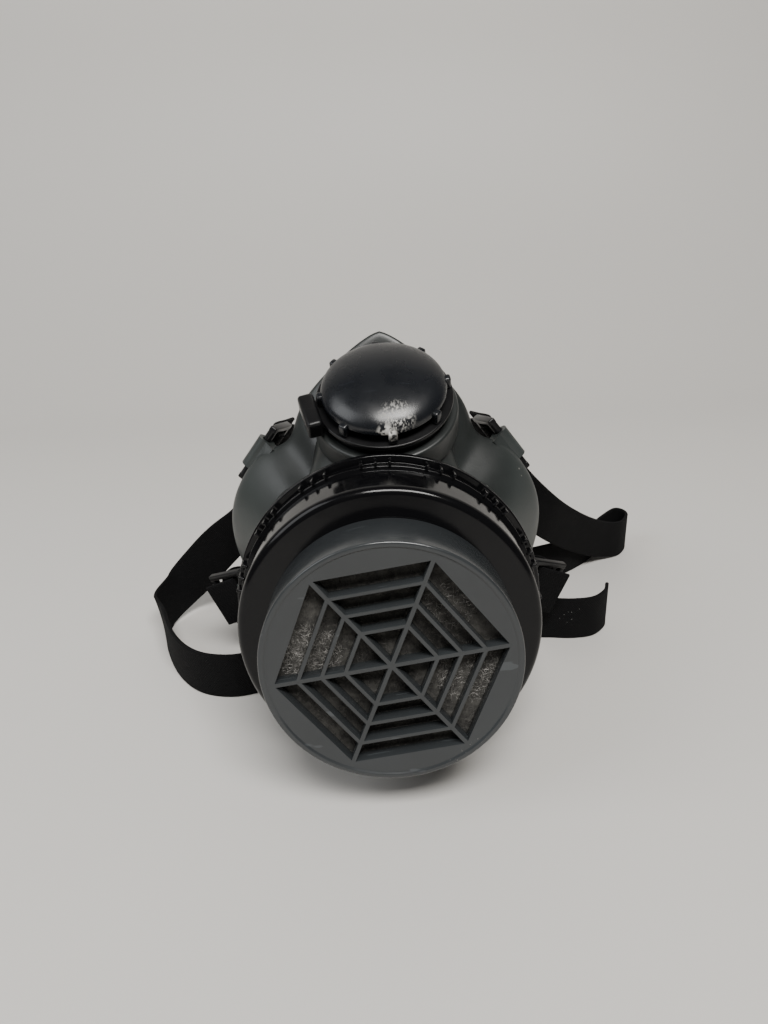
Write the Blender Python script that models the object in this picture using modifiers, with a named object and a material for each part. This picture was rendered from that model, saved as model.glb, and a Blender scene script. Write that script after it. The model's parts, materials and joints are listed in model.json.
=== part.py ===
"""Half-mask respirator with one central cartridge, a domed exhalation valve and a strap harness.

Metres, +Z up, the cartridge faces -Y.  Filter pieces are turned about the filter axis, valve pieces
about the exhale axis, and depths are measured inwards from the front face (or from the cap's lug plane).
"""
import bmesh
import bpy
import math
from mathutils import Matrix, Vector

# ---------------------------------------------------------------- driving dimensions (metres, degrees)
CLEAR = 0.0003             # between faces that touch
SLIDE_CLEAR = 0.0004       # round a piece that slides or turns
SEGMENTS = 40              # round the large turned pieces
SMALL_SEGMENTS = 24        # round the small ones

FILTER_TILT = 4.5          # front of the filter axis above level
CAP_R = 0.0400             # prefilter cap
CAP_DEPTH = 0.0203
CAP_WALL = 0.0016
CAP_EDGE = 0.0022          # rounded front edge
WINDOW_R = 0.0360          # grille window, centre to corner
WINDOW_TURN = 8.8
WEB_STEP = 0.0073          # from one hexagon of the web to the next
WEB_BARS = 3
WEB_BAR = 0.0013
WEB_DEPTH = 0.0040
PAD_THICK = 0.0065
DISC_THICK = 0.0080

DRUM_R = 0.0496            # cartridge drum
DRUM_WALL = 0.0016
DRUM_EDGE = 0.0026
DRUM_LENGTH = 0.0248
COLLAR_STEP = 0.0016       # ribbed collar stands out by this
COLLAR_START = 0.0183
GROOVE_START = 0.0222
FLANGE_STEP = 0.0037       # flange over the drum
FLANGE_THICK = 0.0025
NECK_OVERLAP = 0.0068      # neck that the cap clips over
NECK_WALL = 0.0022
SCREEN_THICK = 0.0012
BASE_THICK = 0.0030
BASE_SINK = 0.0006         # base plate inside the flange's face

THREAD_R = 0.0200          # cartridge connector, plain where the thread is
THREAD_BORE_R = 0.0165
THREAD_LENGTH = 0.0122
THREAD_PITCH = 0.00363
GASKET_THICK = 0.0020
SOCKET_PLATE_R = 0.0370
SOCKET_GAP = 0.0006        # behind the cartridge
SOCKET_PLATE_THICK = 0.0019
SOCKET_WALL = 0.0065
SOCKET_SHELF = 0.0022
SOCKET_NUT_R = 0.0335
SOCKET_NUT_THICK = 0.0036

FLAP_THICK = 0.0008
FLAP_LIFT = 0.0013
SEAT_THICK = 0.0020
SEAT_HUB_R = 0.0031
SEAT_SPOKES = 5
SEAT_RIM = 0.0026
HALF_SPOKE = 0.0011
FLAP_MARGIN = 0.0009       # seat seen round its flap
STUD_R = 0.0014
STUD_HEAD_R = 0.0026
STUD_HEAD_THICK = 0.0008

TOWER_R = 0.0228           # exhalation valve
VALVE_SETBACK = 0.0484     # front of the tower behind the filter's front face
VALVE_CENTRE = (0.0008, VALVE_SETBACK + TOWER_R, 0.0666)   # middle of the lug plane
VALVE_AXIS = (-0.036, -0.498, 0.866)
TOWER_WALL = 0.0030
TOWER_LENGTH = 0.0190
VALVE_COLLAR_R = 0.0244
VALVE_COLLAR_THICK = 0.0016
DOME_R = 0.0220
DOME_RISE = 0.0068
DOME_WALL = 0.0014
LEG_COUNT = 8
LEG_TURN = 10.0
LEG_TIP_R = 0.0235
LEG_WIDTH = 0.0028
LEG_HEIGHT = 0.0047
LEG_TOP = 0.0012           # over the lug plane
SKIRT = 0.0008             # dome edge below the lug plane
LEG_ROOT_R = 0.0186
THUMB_TAB_SIZE = (0.0058, 0.0160, 0.0066)
THUMB_TAB_TURN = 199.0
THUMB_TAB_DROP = 0.0004    # middle of the tab below the collar's face
SPIGOT_TOP = 0.0010        # end of the spigot below the lug plane
SPIGOT_WALL = 0.0015
SEAT_SINK = 0.0030         # exhale seat below the collar's face
SEAT_SHELF = 0.0012

MASK_WALL = 0.0024         # facepiece rubber
MASK_FRONT_R = 0.0400      # flat front wall
MASK_RIM_R = 0.0572
NOSE_RISE = 0.0240
CHEEK_RISE = 0.0046
WAIST = 0.0055              # the rim draws in between nose and cheek
WAIST_ANGLE = 50.0
WAIST_SPREAD = 9.0
RIM_DEPTH = 0.0880         # behind the front face at the cheeks
NOSE_SETBACK = 0.0100
CHIN_FORWARD = 0.0060
SEAL_WIDTH = 0.0130
SEAL_CURL = (0.0045, 0.0045)         # inwards and back, from the rim to the seal
NOSE_SPREAD = (24.5, 1.3)            # half width in degrees, and how sharp its tip is
CREASE = (0.0135, -0.0160)           # inwards from the rim and back, where flank and cheek flange meet
CREASE_AT_NOSE = (0.0100, -0.0035)
SHOULDER = 0.0035                    # round the flat front wall
FLANK_BULGE = 0.0030
MASK_STEPS = 64
SLEEVE_R = 0.0262          # rubber sleeve round the valve tower
SLEEVE_TOP = 0.0088
SLEEVE_WALL = 0.0045       # before the bore for the tower is cut

LUG_UPPER_ANGLE = 37.0
LUG_LOWER_ANGLE = -23.0
LUG_UPPER_LEAN = -18.0     # of the buckle, outwards from straight back
LUG_LOWER_LEAN = 66.0
LUG_UPPER_STAND = (0.0008, 0.0056)   # hinge line beyond the rim, outwards and back
LUG_LOWER_STAND = (0.0046, 0.0034)
LUG_ROOT = (0.0042, 0.0010)   # how far the web of a lug runs in past the rim, and back
LUG_WIDTH = 0.0130
LUG_R = 0.0034
BUCKLE_BAR_R = 0.0016
BUCKLE_RAIL = 0.0024
BUCKLE_THICK = 0.0030
BUCKLE_SLOT = 0.0044
BUCKLE_BARS = 3
BUCKLE_BAR_WIDTH = 0.0026

WEBBING_WIDTH = 0.0200
WEBBING_THICK = 0.0016
STRAIGHT_BACK = (0.0015, 0.0050, 0.0100)   # first stops of a head strap past its buckle
FOLDED_BACK = ((0.0010, 0.0004), (0.0055, 0.0012), (0.0085, 0.0060))   # neck strap: short of the end, below

# ---------------------------------------------------------------- depths worked out from the sizes above
DRUM_FRONT = CAP_DEPTH + SLIDE_CLEAR
NECK_FRONT = DRUM_FRONT - NECK_OVERLAP
NECK_R = CAP_R - CAP_WALL - CLEAR
NECK_BORE_R = NECK_R - NECK_WALL
DRUM_BACK = DRUM_FRONT + DRUM_LENGTH
FLANGE_BACK = DRUM_BACK + FLANGE_THICK
DRUM_BORE_R = DRUM_R - DRUM_WALL
FLANGE_R = DRUM_R + FLANGE_STEP
FLOOR_DROP = (FLANGE_BACK * math.sin(math.radians(FILTER_TILT))
              + FLANGE_R * math.cos(math.radians(FILTER_TILT)))   # the cartridge flange stands on the floor
BASE_BACK = FLANGE_BACK - BASE_SINK
BASE_FRONT = BASE_BACK - BASE_THICK
NECK_END = BASE_BACK + THREAD_LENGTH
SOCKET_FRONT = FLANGE_BACK + SOCKET_GAP
SOCKET_BORE_R = THREAD_R + SLIDE_CLEAR
SOCKET_HUB_R = SOCKET_BORE_R + SOCKET_WALL
MASK_FRONT = SOCKET_FRONT + SOCKET_PLATE_THICK + CLEAR
GASKET_FRONT = NECK_END + CLEAR
SHELF_FRONT = GASKET_FRONT + GASKET_THICK + CLEAR
SOCKET_BACK = SHELF_FRONT + SOCKET_SHELF
NUT_FRONT = MASK_FRONT + MASK_WALL + CLEAR
COLLAR_TOP = LEG_HEIGHT - LEG_TOP + CLEAR
COLLAR_BOTTOM = COLLAR_TOP + VALVE_COLLAR_THICK
TOWER_BORE_R = TOWER_R - TOWER_WALL
SPIGOT_R = LEG_ROOT_R - SLIDE_CLEAR
EXHALE_SEAT_TOP = COLLAR_TOP + SEAT_SINK


# ---------------------------------------------------------------- scene and helpers
def clear_scene():
    """Remove every object the file opened with."""
    for obj in list(bpy.data.objects):
        bpy.data.objects.remove(obj, do_unlink=True)


clear_scene()
PARTS = bpy.data.collections.new("respirator")
CUTTERS = bpy.data.collections.new("respirator_cutters")
for collection in (PARTS, CUTTERS):
    bpy.context.scene.collection.children.link(collection)


def finish(name, color, roughness, metallic=0.0):
    """A plain moulded or metal finish."""
    material = bpy.data.materials.new(name)
    material.use_nodes = True
    shader = material.node_tree.nodes["Principled BSDF"]
    shader.inputs["Base Color"].default_value = (*color, 1.0)
    shader.inputs["Roughness"].default_value = roughness
    shader.inputs["Metallic"].default_value = metallic
    return material


def empty(name, parent, matrix):
    """An empty that carries an axis: its Z runs along it, out of the mask."""
    obj = bpy.data.objects.new(name, None)
    PARTS.objects.link(obj)
    obj.parent = parent
    obj.matrix_local = matrix
    return obj


def add_object(name, mesh, parent=None, material=None, cutter=False):
    """Put a mesh in the parts or, for a cutter, where it isn't built."""
    obj = bpy.data.objects.new(name, mesh)
    (CUTTERS if cutter else PARTS).objects.link(obj)
    obj.parent = parent
    if material is not None:
        obj.data.materials.append(material)
    if cutter:
        obj.hide_render = True
        obj.display_type = "WIRE"
    return obj


def mesh_from(bm, name, closed=True):
    """Turn a bmesh into a mesh; a closed one gets its faces pointing out."""
    if closed:
        bmesh.ops.recalc_face_normals(bm, faces=bm.faces)
    mesh = bpy.data.meshes.new(name)
    bm.to_mesh(mesh)
    bm.free()
    mesh.shade_smooth()
    mesh.set_sharp_from_angle(angle=math.radians(35.0))
    return mesh


def boolean(obj, cutter, operation="DIFFERENCE"):
    """Cut or join with the exact solver."""
    modifier = obj.modifiers.new(operation.lower(), "BOOLEAN")
    modifier.operation = operation
    modifier.solver = "EXACT"
    modifier.object = cutter
    return modifier


def turned(name, profile, parent, material=None, segments=SEGMENTS, cutter=False):
    """A turned piece: profile is (radius, depth) points, closed unless it starts on the axis."""
    points = [(r, -depth) for r, depth in profile]
    area = sum(a[0] * b[1] - b[0] * a[1] for a, b in zip(points, points[1:] + points[:1]))
    if area > 0.0:
        points.reverse()
    on_axis = [i for i, (r, _) in enumerate(points) if r == 0.0]
    edges = [(i, (i + 1) % len(points)) for i in range(len(points))]
    edges = [e for e in edges if not (e[0] in on_axis and e[1] in on_axis)]
    mesh = bpy.data.meshes.new(name)
    mesh.from_pydata([(r, 0.0, z) for r, z in points], edges, [])
    obj = add_object(name, mesh, parent, material, cutter)
    screw = obj.modifiers.new("turn", "SCREW")
    screw.steps = screw.render_steps = segments
    screw.use_merge_vertices = True
    screw.merge_threshold = 0.00001
    screw.use_smooth_shade = True
    return obj


def rounded(r, depth, radius, steps=4):
    """Quarter arc that rounds a front outer corner of a (radius, depth) profile."""
    return [(r - radius + radius * math.sin(a), depth + radius - radius * math.cos(a))
            for a in (math.radians(90.0) * i / steps for i in range(steps + 1))]


def prism(bm, outline, low, high):
    """Add a straight prism on an outline of (x, y) points."""
    bottom = [bm.verts.new((x, y, low)) for x, y in outline]
    face = bm.faces.new(bottom)
    moved = bmesh.ops.extrude_face_region(bm, geom=[face])
    top = [v for v in moved["geom"] if isinstance(v, bmesh.types.BMVert)]
    bmesh.ops.translate(bm, verts=top, vec=(0.0, 0.0, high - low))


def box(bm, size, place=Matrix()):
    """Add a box of full size, placed by a matrix."""
    bmesh.ops.create_cube(bm, size=1.0, matrix=place @ Matrix.Diagonal((*size, 1.0)))


def cylinder(bm, radius, length, place=Matrix(), segments=20):
    """Add a cylinder along its own Z."""
    bmesh.ops.create_cone(bm, cap_ends=True, segments=segments, radius1=radius, radius2=radius,
                          depth=length, matrix=place)


def spoke_openings(name, parent, inner, outer, count, low, high):
    """Cutter for the openings between a seat's spokes."""
    bm = bmesh.new()
    for k in range(count):
        first = math.tau * k / count
        outline = []
        for radius, direction in ((outer, 1), (inner, -1)):
            margin = math.asin(HALF_SPOKE / radius)
            a, b = first + margin, first + math.tau / count - margin
            steps = 6 if radius == outer else 2
            angles = [a + (b - a) * i / steps for i in range(steps + 1)]
            outline += [(radius * math.cos(t), radius * math.sin(t)) for t in angles[::direction]]
        prism(bm, outline, -high, -low)
    return add_object(name, mesh_from(bm, name), parent, cutter=True)


def smooth_path(points, steps):
    """Catmull-Rom curve through a list of vectors."""
    ends = [points[0] * 2 - points[1], *points, points[-1] * 2 - points[-2]]
    out = []
    for a, b, c, d in zip(ends, ends[1:], ends[2:], ends[3:]):
        for i in range(steps):
            t = i / steps
            out.append(0.5 * (2 * b + (c - a) * t + (2 * a - 5 * b + 4 * c - d) * t ** 2
                              + (3 * b - a - 3 * c + d) * t ** 3))
    return out + [points[-1]]


# ---------------------------------------------------------------- materials
GREY_CAP = finish("cap_grey_plastic", (0.045, 0.050, 0.055), 0.45)
BLACK_GLOSS = finish("black_gloss_plastic", (0.012, 0.012, 0.014), 0.20)
BLACK_MATT = finish("black_matt_plastic", (0.016, 0.016, 0.017), 0.45)
MASK_RUBBER = finish("mask_rubber", (0.040, 0.044, 0.045), 0.42)
FLAP_RUBBER = finish("flap_rubber", (0.50, 0.47, 0.42), 0.55)
GASKET_RUBBER = finish("gasket_rubber", (0.03, 0.03, 0.03), 0.60)
PAD_FIBRE = finish("pad_fibre", (0.13, 0.11, 0.095), 0.95)
PAPER = finish("filter_paper", (0.72, 0.70, 0.64), 0.90)
CARBON = finish("carbon", (0.02, 0.02, 0.02), 0.85)
SCREEN_STEEL = finish("screen_steel", (0.45, 0.45, 0.46), 0.35, 1.0)
WEBBING = finish("webbing", (0.013, 0.013, 0.014), 0.85)

# ---------------------------------------------------------------- axes
ROOT = empty("respirator_rest", None, Matrix())
FILTER_FRAME = Matrix.Rotation(math.radians(90.0 - FILTER_TILT), 4, "X")
FILTER_AXIS = empty("filter_axis", ROOT, FILTER_FRAME)
VALVE_DIRECTION = Vector(VALVE_AXIS).normalized()
VALVE_FRAME = (Matrix.Translation(VALVE_CENTRE)
               @ VALVE_DIRECTION.to_track_quat("Z", "Y").to_matrix().to_4x4())
VALVE_AXIS_EMPTY = empty("exhale_axis", ROOT, VALVE_FRAME)


# ---------------------------------------------------------------- cartridge
def hexagon_point(radius, corner):
    """Corner of a hexagon of the grille, in the filter axis's own plane."""
    angle = math.radians(WINDOW_TURN + 60.0 * corner)
    return Vector((radius * math.cos(angle), radius * math.sin(angle)))


def grille_openings():
    """Cutter for the openings of the web: three bands and a middle triangle in each sector."""
    bm = bmesh.new()
    for sector in range(6):
        for band in range(WEB_BARS + 1):
            outer = WINDOW_R - band * WEB_STEP - (WEB_BAR / 2 if band else 0.0)
            inner = WINDOW_R - (band + 1) * WEB_STEP + WEB_BAR / 2 if band < WEB_BARS else 0.0
            along = (hexagon_point(1.0, sector + 1) - hexagon_point(1.0, sector)).normalized()
            shift = along * (WEB_BAR / 2 / math.cos(math.radians(30.0)))
            a, b = hexagon_point(outer, sector) + shift, hexagon_point(outer, sector + 1) - shift
            if inner > 0.0:
                outline = [a, b, hexagon_point(inner, sector + 1) - shift, hexagon_point(inner, sector) + shift]
            else:
                middle = hexagon_point(WEB_BAR, sector) + hexagon_point(WEB_BAR, sector + 1)
                outline = [a, b, middle / math.sqrt(3.0)]
            prism(bm, outline, -2 * WEB_DEPTH, WEB_DEPTH)
    return add_object("grille_openings", mesh_from(bm, "grille_openings"), FILTER_AXIS, cutter=True)


def prefilter_cap():
    """Cap with the web grille; its skirt clips over the cartridge neck."""
    inner = CAP_R - CAP_WALL
    boss = WINDOW_R + CAP_WALL
    edge = rounded(CAP_R, 0.0, CAP_EDGE)
    profile = [(0.0, 0.0), *edge, (CAP_R, CAP_DEPTH), (inner, CAP_DEPTH), (inner, CAP_WALL),
               (boss, CAP_WALL), (boss, WEB_DEPTH), (0.0, WEB_DEPTH)]
    cap = turned("prefilter_cap", profile, FILTER_AXIS, GREY_CAP)
    boolean(cap, grille_openings())


def disc(name, radius, front, back, material, parent, segments=SEGMENTS):
    """Plain turned disc."""
    turned(name, [(0.0, front), (radius, front), (radius, back), (0.0, back)], parent, material, segments)


def cartridge():
    """Shell, filling and threaded base."""
    front = DRUM_FRONT
    edge = rounded(DRUM_R, front, DRUM_EDGE)
    collar_r = DRUM_R + COLLAR_STEP
    collar = front + COLLAR_START
    groove = front + GROOVE_START
    floor = front + DRUM_WALL
    turned("cartridge_shell",
           [(NECK_BORE_R, NECK_FRONT), (NECK_R, NECK_FRONT), (NECK_R, front), *edge,
            (DRUM_R, collar), (collar_r, collar + CLEAR), (collar_r, groove),
            (collar_r - COLLAR_STEP / 2, groove), (collar_r - COLLAR_STEP / 2, DRUM_BACK),
            (FLANGE_R, DRUM_BACK), (FLANGE_R, FLANGE_BACK), (DRUM_BORE_R, FLANGE_BACK),
            (DRUM_BORE_R, floor), (NECK_BORE_R, floor)],
           FILTER_AXIS, BLACK_GLOSS)
    pad_front = WEB_DEPTH + CLEAR
    disc("prefilter_pad", NECK_R - CLEAR, pad_front, pad_front + PAD_THICK, PAD_FIBRE, FILTER_AXIS)
    disc_front = max(pad_front + PAD_THICK, NECK_FRONT) + CLEAR
    disc("particulate_disc", NECK_BORE_R - CLEAR, disc_front, disc_front + DISC_THICK, PAPER, FILTER_AXIS)
    filling_r = DRUM_BORE_R - CLEAR
    depth = max(floor, disc_front + DISC_THICK) + CLEAR
    bed_back = BASE_FRONT - CLEAR - SCREEN_THICK - CLEAR
    disc("front_screen", filling_r, depth, depth + SCREEN_THICK, SCREEN_STEEL, FILTER_AXIS)
    disc("carbon_bed", filling_r, depth + SCREEN_THICK + CLEAR, bed_back, CARBON, FILTER_AXIS)
    disc("rear_screen", filling_r, bed_back + CLEAR, bed_back + CLEAR + SCREEN_THICK, SCREEN_STEEL, FILTER_AXIS)
    turned("cartridge_base",
           [(THREAD_BORE_R, BASE_FRONT), (filling_r, BASE_FRONT), (filling_r, BASE_BACK),
            (THREAD_R, BASE_BACK), (THREAD_R, NECK_END), (THREAD_BORE_R, NECK_END)],
           FILTER_AXIS, BLACK_MATT, SMALL_SEGMENTS)
    turned("filter_gasket",
           [(THREAD_BORE_R, GASKET_FRONT), (THREAD_R, GASKET_FRONT),
            (THREAD_R, GASKET_FRONT + GASKET_THICK), (THREAD_BORE_R, GASKET_FRONT + GASKET_THICK)],
           FILTER_AXIS, GASKET_RUBBER, SMALL_SEGMENTS)


# ---------------------------------------------------------------- valves
def seat(name, radius, front, stud_end, parent, towards):
    """Spoked valve seat with the stud that holds its flap; towards is the way the flap faces."""
    back = front + towards * SEAT_THICK
    head = stud_end + towards * STUD_HEAD_THICK
    body = turned(name,
                  [(0.0, front), (radius, front), (radius, back), (STUD_R, back), (STUD_R, stud_end),
                   (STUD_HEAD_R, stud_end), (STUD_HEAD_R, head), (0.0, head)],
                  parent, BLACK_MATT, SMALL_SEGMENTS)
    low, high = sorted((front - towards * CLEAR, back + towards * CLEAR))
    boolean(body, spoke_openings(name + "_openings", parent, SEAT_HUB_R, radius - SEAT_RIM, SEAT_SPOKES,
                                 low, high))


def flap(name, radius, front, parent, towards):
    """Rubber flap with the hole for its stud."""
    hole = STUD_R + SLIDE_CLEAR
    back = front + towards * FLAP_THICK
    turned(name, [(hole, front), (radius, front), (radius, back), (hole, back)], parent, FLAP_RUBBER,
           SMALL_SEGMENTS)


def inhale_valve():
    """Valve inside the socket; the flap opens into the mask."""
    radius = THREAD_BORE_R - CLEAR
    front = SHELF_FRONT + CLEAR
    flap_front = front + SEAT_THICK + CLEAR
    stud_end = flap_front + FLAP_THICK + FLAP_LIFT + CLEAR
    seat("inhale_seat", radius, front, stud_end, FILTER_AXIS, 1)
    flap("inhale_flap", radius - FLAP_MARGIN, flap_front, FILTER_AXIS, 1)


def exhale_valve():
    """Valve under the domed cap; the flap opens outwards."""
    radius = TOWER_BORE_R - CLEAR
    back = EXHALE_SEAT_TOP + SEAT_THICK
    flap_back = EXHALE_SEAT_TOP - CLEAR
    stud_end = flap_back - FLAP_THICK - FLAP_LIFT - CLEAR
    seat("exhale_seat", radius, back, stud_end, VALVE_AXIS_EMPTY, -1)
    flap("exhale_flap", SPIGOT_R - SPIGOT_WALL - FLAP_MARGIN - CLEAR, flap_back, VALVE_AXIS_EMPTY, -1)


def exhale_housing():
    """Tower with its collar, the spigot the cap sits on, and the thumb tab."""
    spigot_bore = SPIGOT_R - SPIGOT_WALL
    shelf = EXHALE_SEAT_TOP - SEAT_SHELF
    housing = turned("exhale_housing",
                     [(spigot_bore, SPIGOT_TOP), (SPIGOT_R, SPIGOT_TOP), (SPIGOT_R, COLLAR_TOP),
                      (VALVE_COLLAR_R, COLLAR_TOP), (VALVE_COLLAR_R, COLLAR_BOTTOM),
                      (TOWER_R, COLLAR_BOTTOM), (TOWER_R, TOWER_LENGTH), (TOWER_BORE_R, TOWER_LENGTH),
                      (TOWER_BORE_R, shelf), (spigot_bore, shelf)],
                     VALVE_AXIS_EMPTY, BLACK_MATT)
    width, length, height = THUMB_TAB_SIZE
    inner = LEG_TIP_R + SLIDE_CLEAR
    bm = bmesh.new()
    turn = Matrix.Rotation(math.radians(THUMB_TAB_TURN), 4, "Z")
    middle = Matrix.Translation((inner + width / 2, 0.0, -THUMB_TAB_DROP - COLLAR_TOP))
    box(bm, (width, length, height), turn @ middle)
    bmesh.ops.bevel(bm, geom=bm.edges[:], offset=0.0010, segments=2, affect="EDGES")
    tab = add_object("thumb_tab_block", mesh_from(bm, "thumb_tab_block"), VALVE_AXIS_EMPTY, cutter=True)
    boolean(housing, tab, "UNION")


def exhale_cap():
    """Low dome on eight legs that stand on the collar."""
    dome_steps = 7
    outer = [(DOME_R * math.sin(a), -DOME_RISE * math.cos(a))
             for a in (math.radians(90.0) * i / dome_steps for i in range(dome_steps + 1))]
    rim = [(DOME_R, SKIRT), (DOME_R - DOME_WALL, SKIRT)]
    inside = [((DOME_R - DOME_WALL) * math.sin(a), -(DOME_RISE - DOME_WALL) * math.cos(a))
              for a in (math.radians(90.0) * i / 5 for i in range(5, -1, -1))]
    outer[0] = (0.0, outer[0][1])
    inside[-1] = (0.0, inside[-1][1])
    dome = turned("exhale_cap", [*outer, *rim, *inside], VALVE_AXIS_EMPTY, BLACK_GLOSS)
    bm = bmesh.new()
    depth = LEG_TIP_R - LEG_ROOT_R
    for k in range(LEG_COUNT):
        turn = Matrix.Rotation(math.radians(LEG_TURN + 360.0 / LEG_COUNT * k), 4, "Z")
        place = turn @ Matrix.Translation((LEG_ROOT_R + depth / 2, 0.0, LEG_TOP - LEG_HEIGHT / 2))
        box(bm, (depth, LEG_WIDTH, LEG_HEIGHT), place)
    legs = add_object("cap_legs", mesh_from(bm, "cap_legs"), VALVE_AXIS_EMPTY, cutter=True)
    boolean(dome, legs, "UNION")


# ---------------------------------------------------------------- socket
def filter_socket():
    """Threaded socket, the nut that clamps it from inside the mask."""
    turned("filter_socket",
           [(SOCKET_BORE_R, SOCKET_FRONT), (SOCKET_PLATE_R, SOCKET_FRONT),
            (SOCKET_PLATE_R, SOCKET_FRONT + SOCKET_PLATE_THICK),
            (SOCKET_HUB_R, SOCKET_FRONT + SOCKET_PLATE_THICK), (SOCKET_HUB_R, SOCKET_BACK),
            (THREAD_BORE_R, SOCKET_BACK), (THREAD_BORE_R, SHELF_FRONT), (SOCKET_BORE_R, SHELF_FRONT)],
           FILTER_AXIS, BLACK_MATT)
    bore = SOCKET_HUB_R + CLEAR
    turned("socket_nut",
           [(bore, NUT_FRONT), (SOCKET_NUT_R, NUT_FRONT), (SOCKET_NUT_R, NUT_FRONT + SOCKET_NUT_THICK),
            (bore, NUT_FRONT + SOCKET_NUT_THICK)],
           FILTER_AXIS, BLACK_MATT, SMALL_SEGMENTS)


# ---------------------------------------------------------------- facepiece
def angle_from(theta, centre):
    """Distance of two angles in degrees, the short way round."""
    return abs((theta - centre + 180.0) % 360.0 - 180.0)


def rim_point(theta, inset=0.0, setback=0.0):
    """Point of the facepiece rim at an angle round the filter, flattened where it stands on the floor."""
    nose = math.exp(-(angle_from(theta, 90.0) / NOSE_SPREAD[0]) ** NOSE_SPREAD[1])
    chin = math.exp(-(angle_from(theta, 270.0) / 40.0) ** 2)
    cheek = sum(math.exp(-(angle_from(theta, side) / 25.0) ** 2) for side in (16.0, 164.0))
    waist = sum(math.exp(-(angle_from(theta, side) / WAIST_SPREAD) ** 2)
                for side in (WAIST_ANGLE, 180.0 - WAIST_ANGLE))
    radius = MASK_RIM_R + NOSE_RISE * nose + CHEEK_RISE * cheek - WAIST * waist - inset
    depth = RIM_DEPTH + NOSE_SETBACK * nose - CHIN_FORWARD * chin + setback
    t = math.radians(theta)
    return Vector((radius * math.cos(t), depth, max(radius * math.sin(t), -FLOOR_DROP)))


def filter_ring_point(theta, radius, depth):
    """Point on a ring about the tilted filter axis."""
    t = math.radians(theta)
    return FILTER_FRAME @ Vector((radius * math.cos(t), radius * math.sin(t), -depth))


def mask_section(theta):
    """Key points of the facepiece wall at one angle, from the socket to the seal's edge."""
    nose = math.exp(-(angle_from(theta, 90.0) / 32.0) ** 2)
    crease = rim_point(theta, *(a + (b - a) * nose for a, b in zip(CREASE, CREASE_AT_NOSE)))
    shoulder = filter_ring_point(theta, MASK_FRONT_R + SHOULDER, MASK_FRONT + SHOULDER)
    middle = shoulder.lerp(crease, 0.5)
    outward = Vector((math.cos(math.radians(theta)), 0.0, math.sin(math.radians(theta))))
    return [filter_ring_point(theta, SOCKET_HUB_R + CLEAR, MASK_FRONT),
            filter_ring_point(theta, MASK_FRONT_R, MASK_FRONT), shoulder,
            middle + outward * FLANK_BULGE * (1.0 - nose), crease, rim_point(theta),
            rim_point(theta, *SEAL_CURL), rim_point(theta, SEAL_WIDTH, SEAL_CURL[1])]


def lug_frame(side, level):
    """Hinge line of a buckle: X along the line, Y the way the strap leaves."""
    angle, lean, stand = {"upper": (LUG_UPPER_ANGLE, LUG_UPPER_LEAN, LUG_UPPER_STAND),
                          "lower": (LUG_LOWER_ANGLE, LUG_LOWER_LEAN, LUG_LOWER_STAND)}[level]
    theta = angle if side == "right" else 180.0 - angle
    t = math.radians(theta)
    radial = Vector((math.cos(t), 0.0, math.sin(t)))
    leave = Vector((0.0, math.cos(math.radians(lean)), 0.0)) + radial * math.sin(math.radians(lean))
    along = Vector((math.sin(t), 0.0, -math.cos(t)))
    place = Matrix((along, leave, along.cross(leave))).transposed().to_4x4()
    place.translation = rim_point(theta) + radial * stand[0] + Vector((0.0, stand[1], 0.0))
    return place, theta


LUGS = [(side, level) for level in ("upper", "lower") for side in ("left", "right")]


def lug_block(name, place, theta):
    """Moulded lug: a round eye on the hinge line with a thick web that runs into the rim."""
    root = place.inverted() @ rim_point(theta, *LUG_ROOT)
    reach = math.hypot(root.y, root.z)
    half = LUG_R * 0.75
    first = math.asin(half / LUG_R)
    steps = 12
    outline = [(reach, half)]
    for i in range(steps + 1):
        angle = first + (math.tau - 2 * first) * i / steps
        outline.append((LUG_R * math.cos(angle), LUG_R * math.sin(angle)))
    outline.append((reach, -half))
    bm = bmesh.new()
    prism(bm, outline, -LUG_WIDTH / 2, LUG_WIDTH / 2)
    tilt = Matrix.Rotation(math.atan2(root.z, root.y), 4, "X")
    lie = Matrix(((0, 0, 1, 0), (1, 0, 0, 0), (0, 1, 0, 0), (0, 0, 0, 1)))
    bm.transform(tilt @ lie)
    lug = add_object(name, mesh_from(bm, name), ROOT, cutter=True)
    lug.matrix_local = place
    return lug


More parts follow.
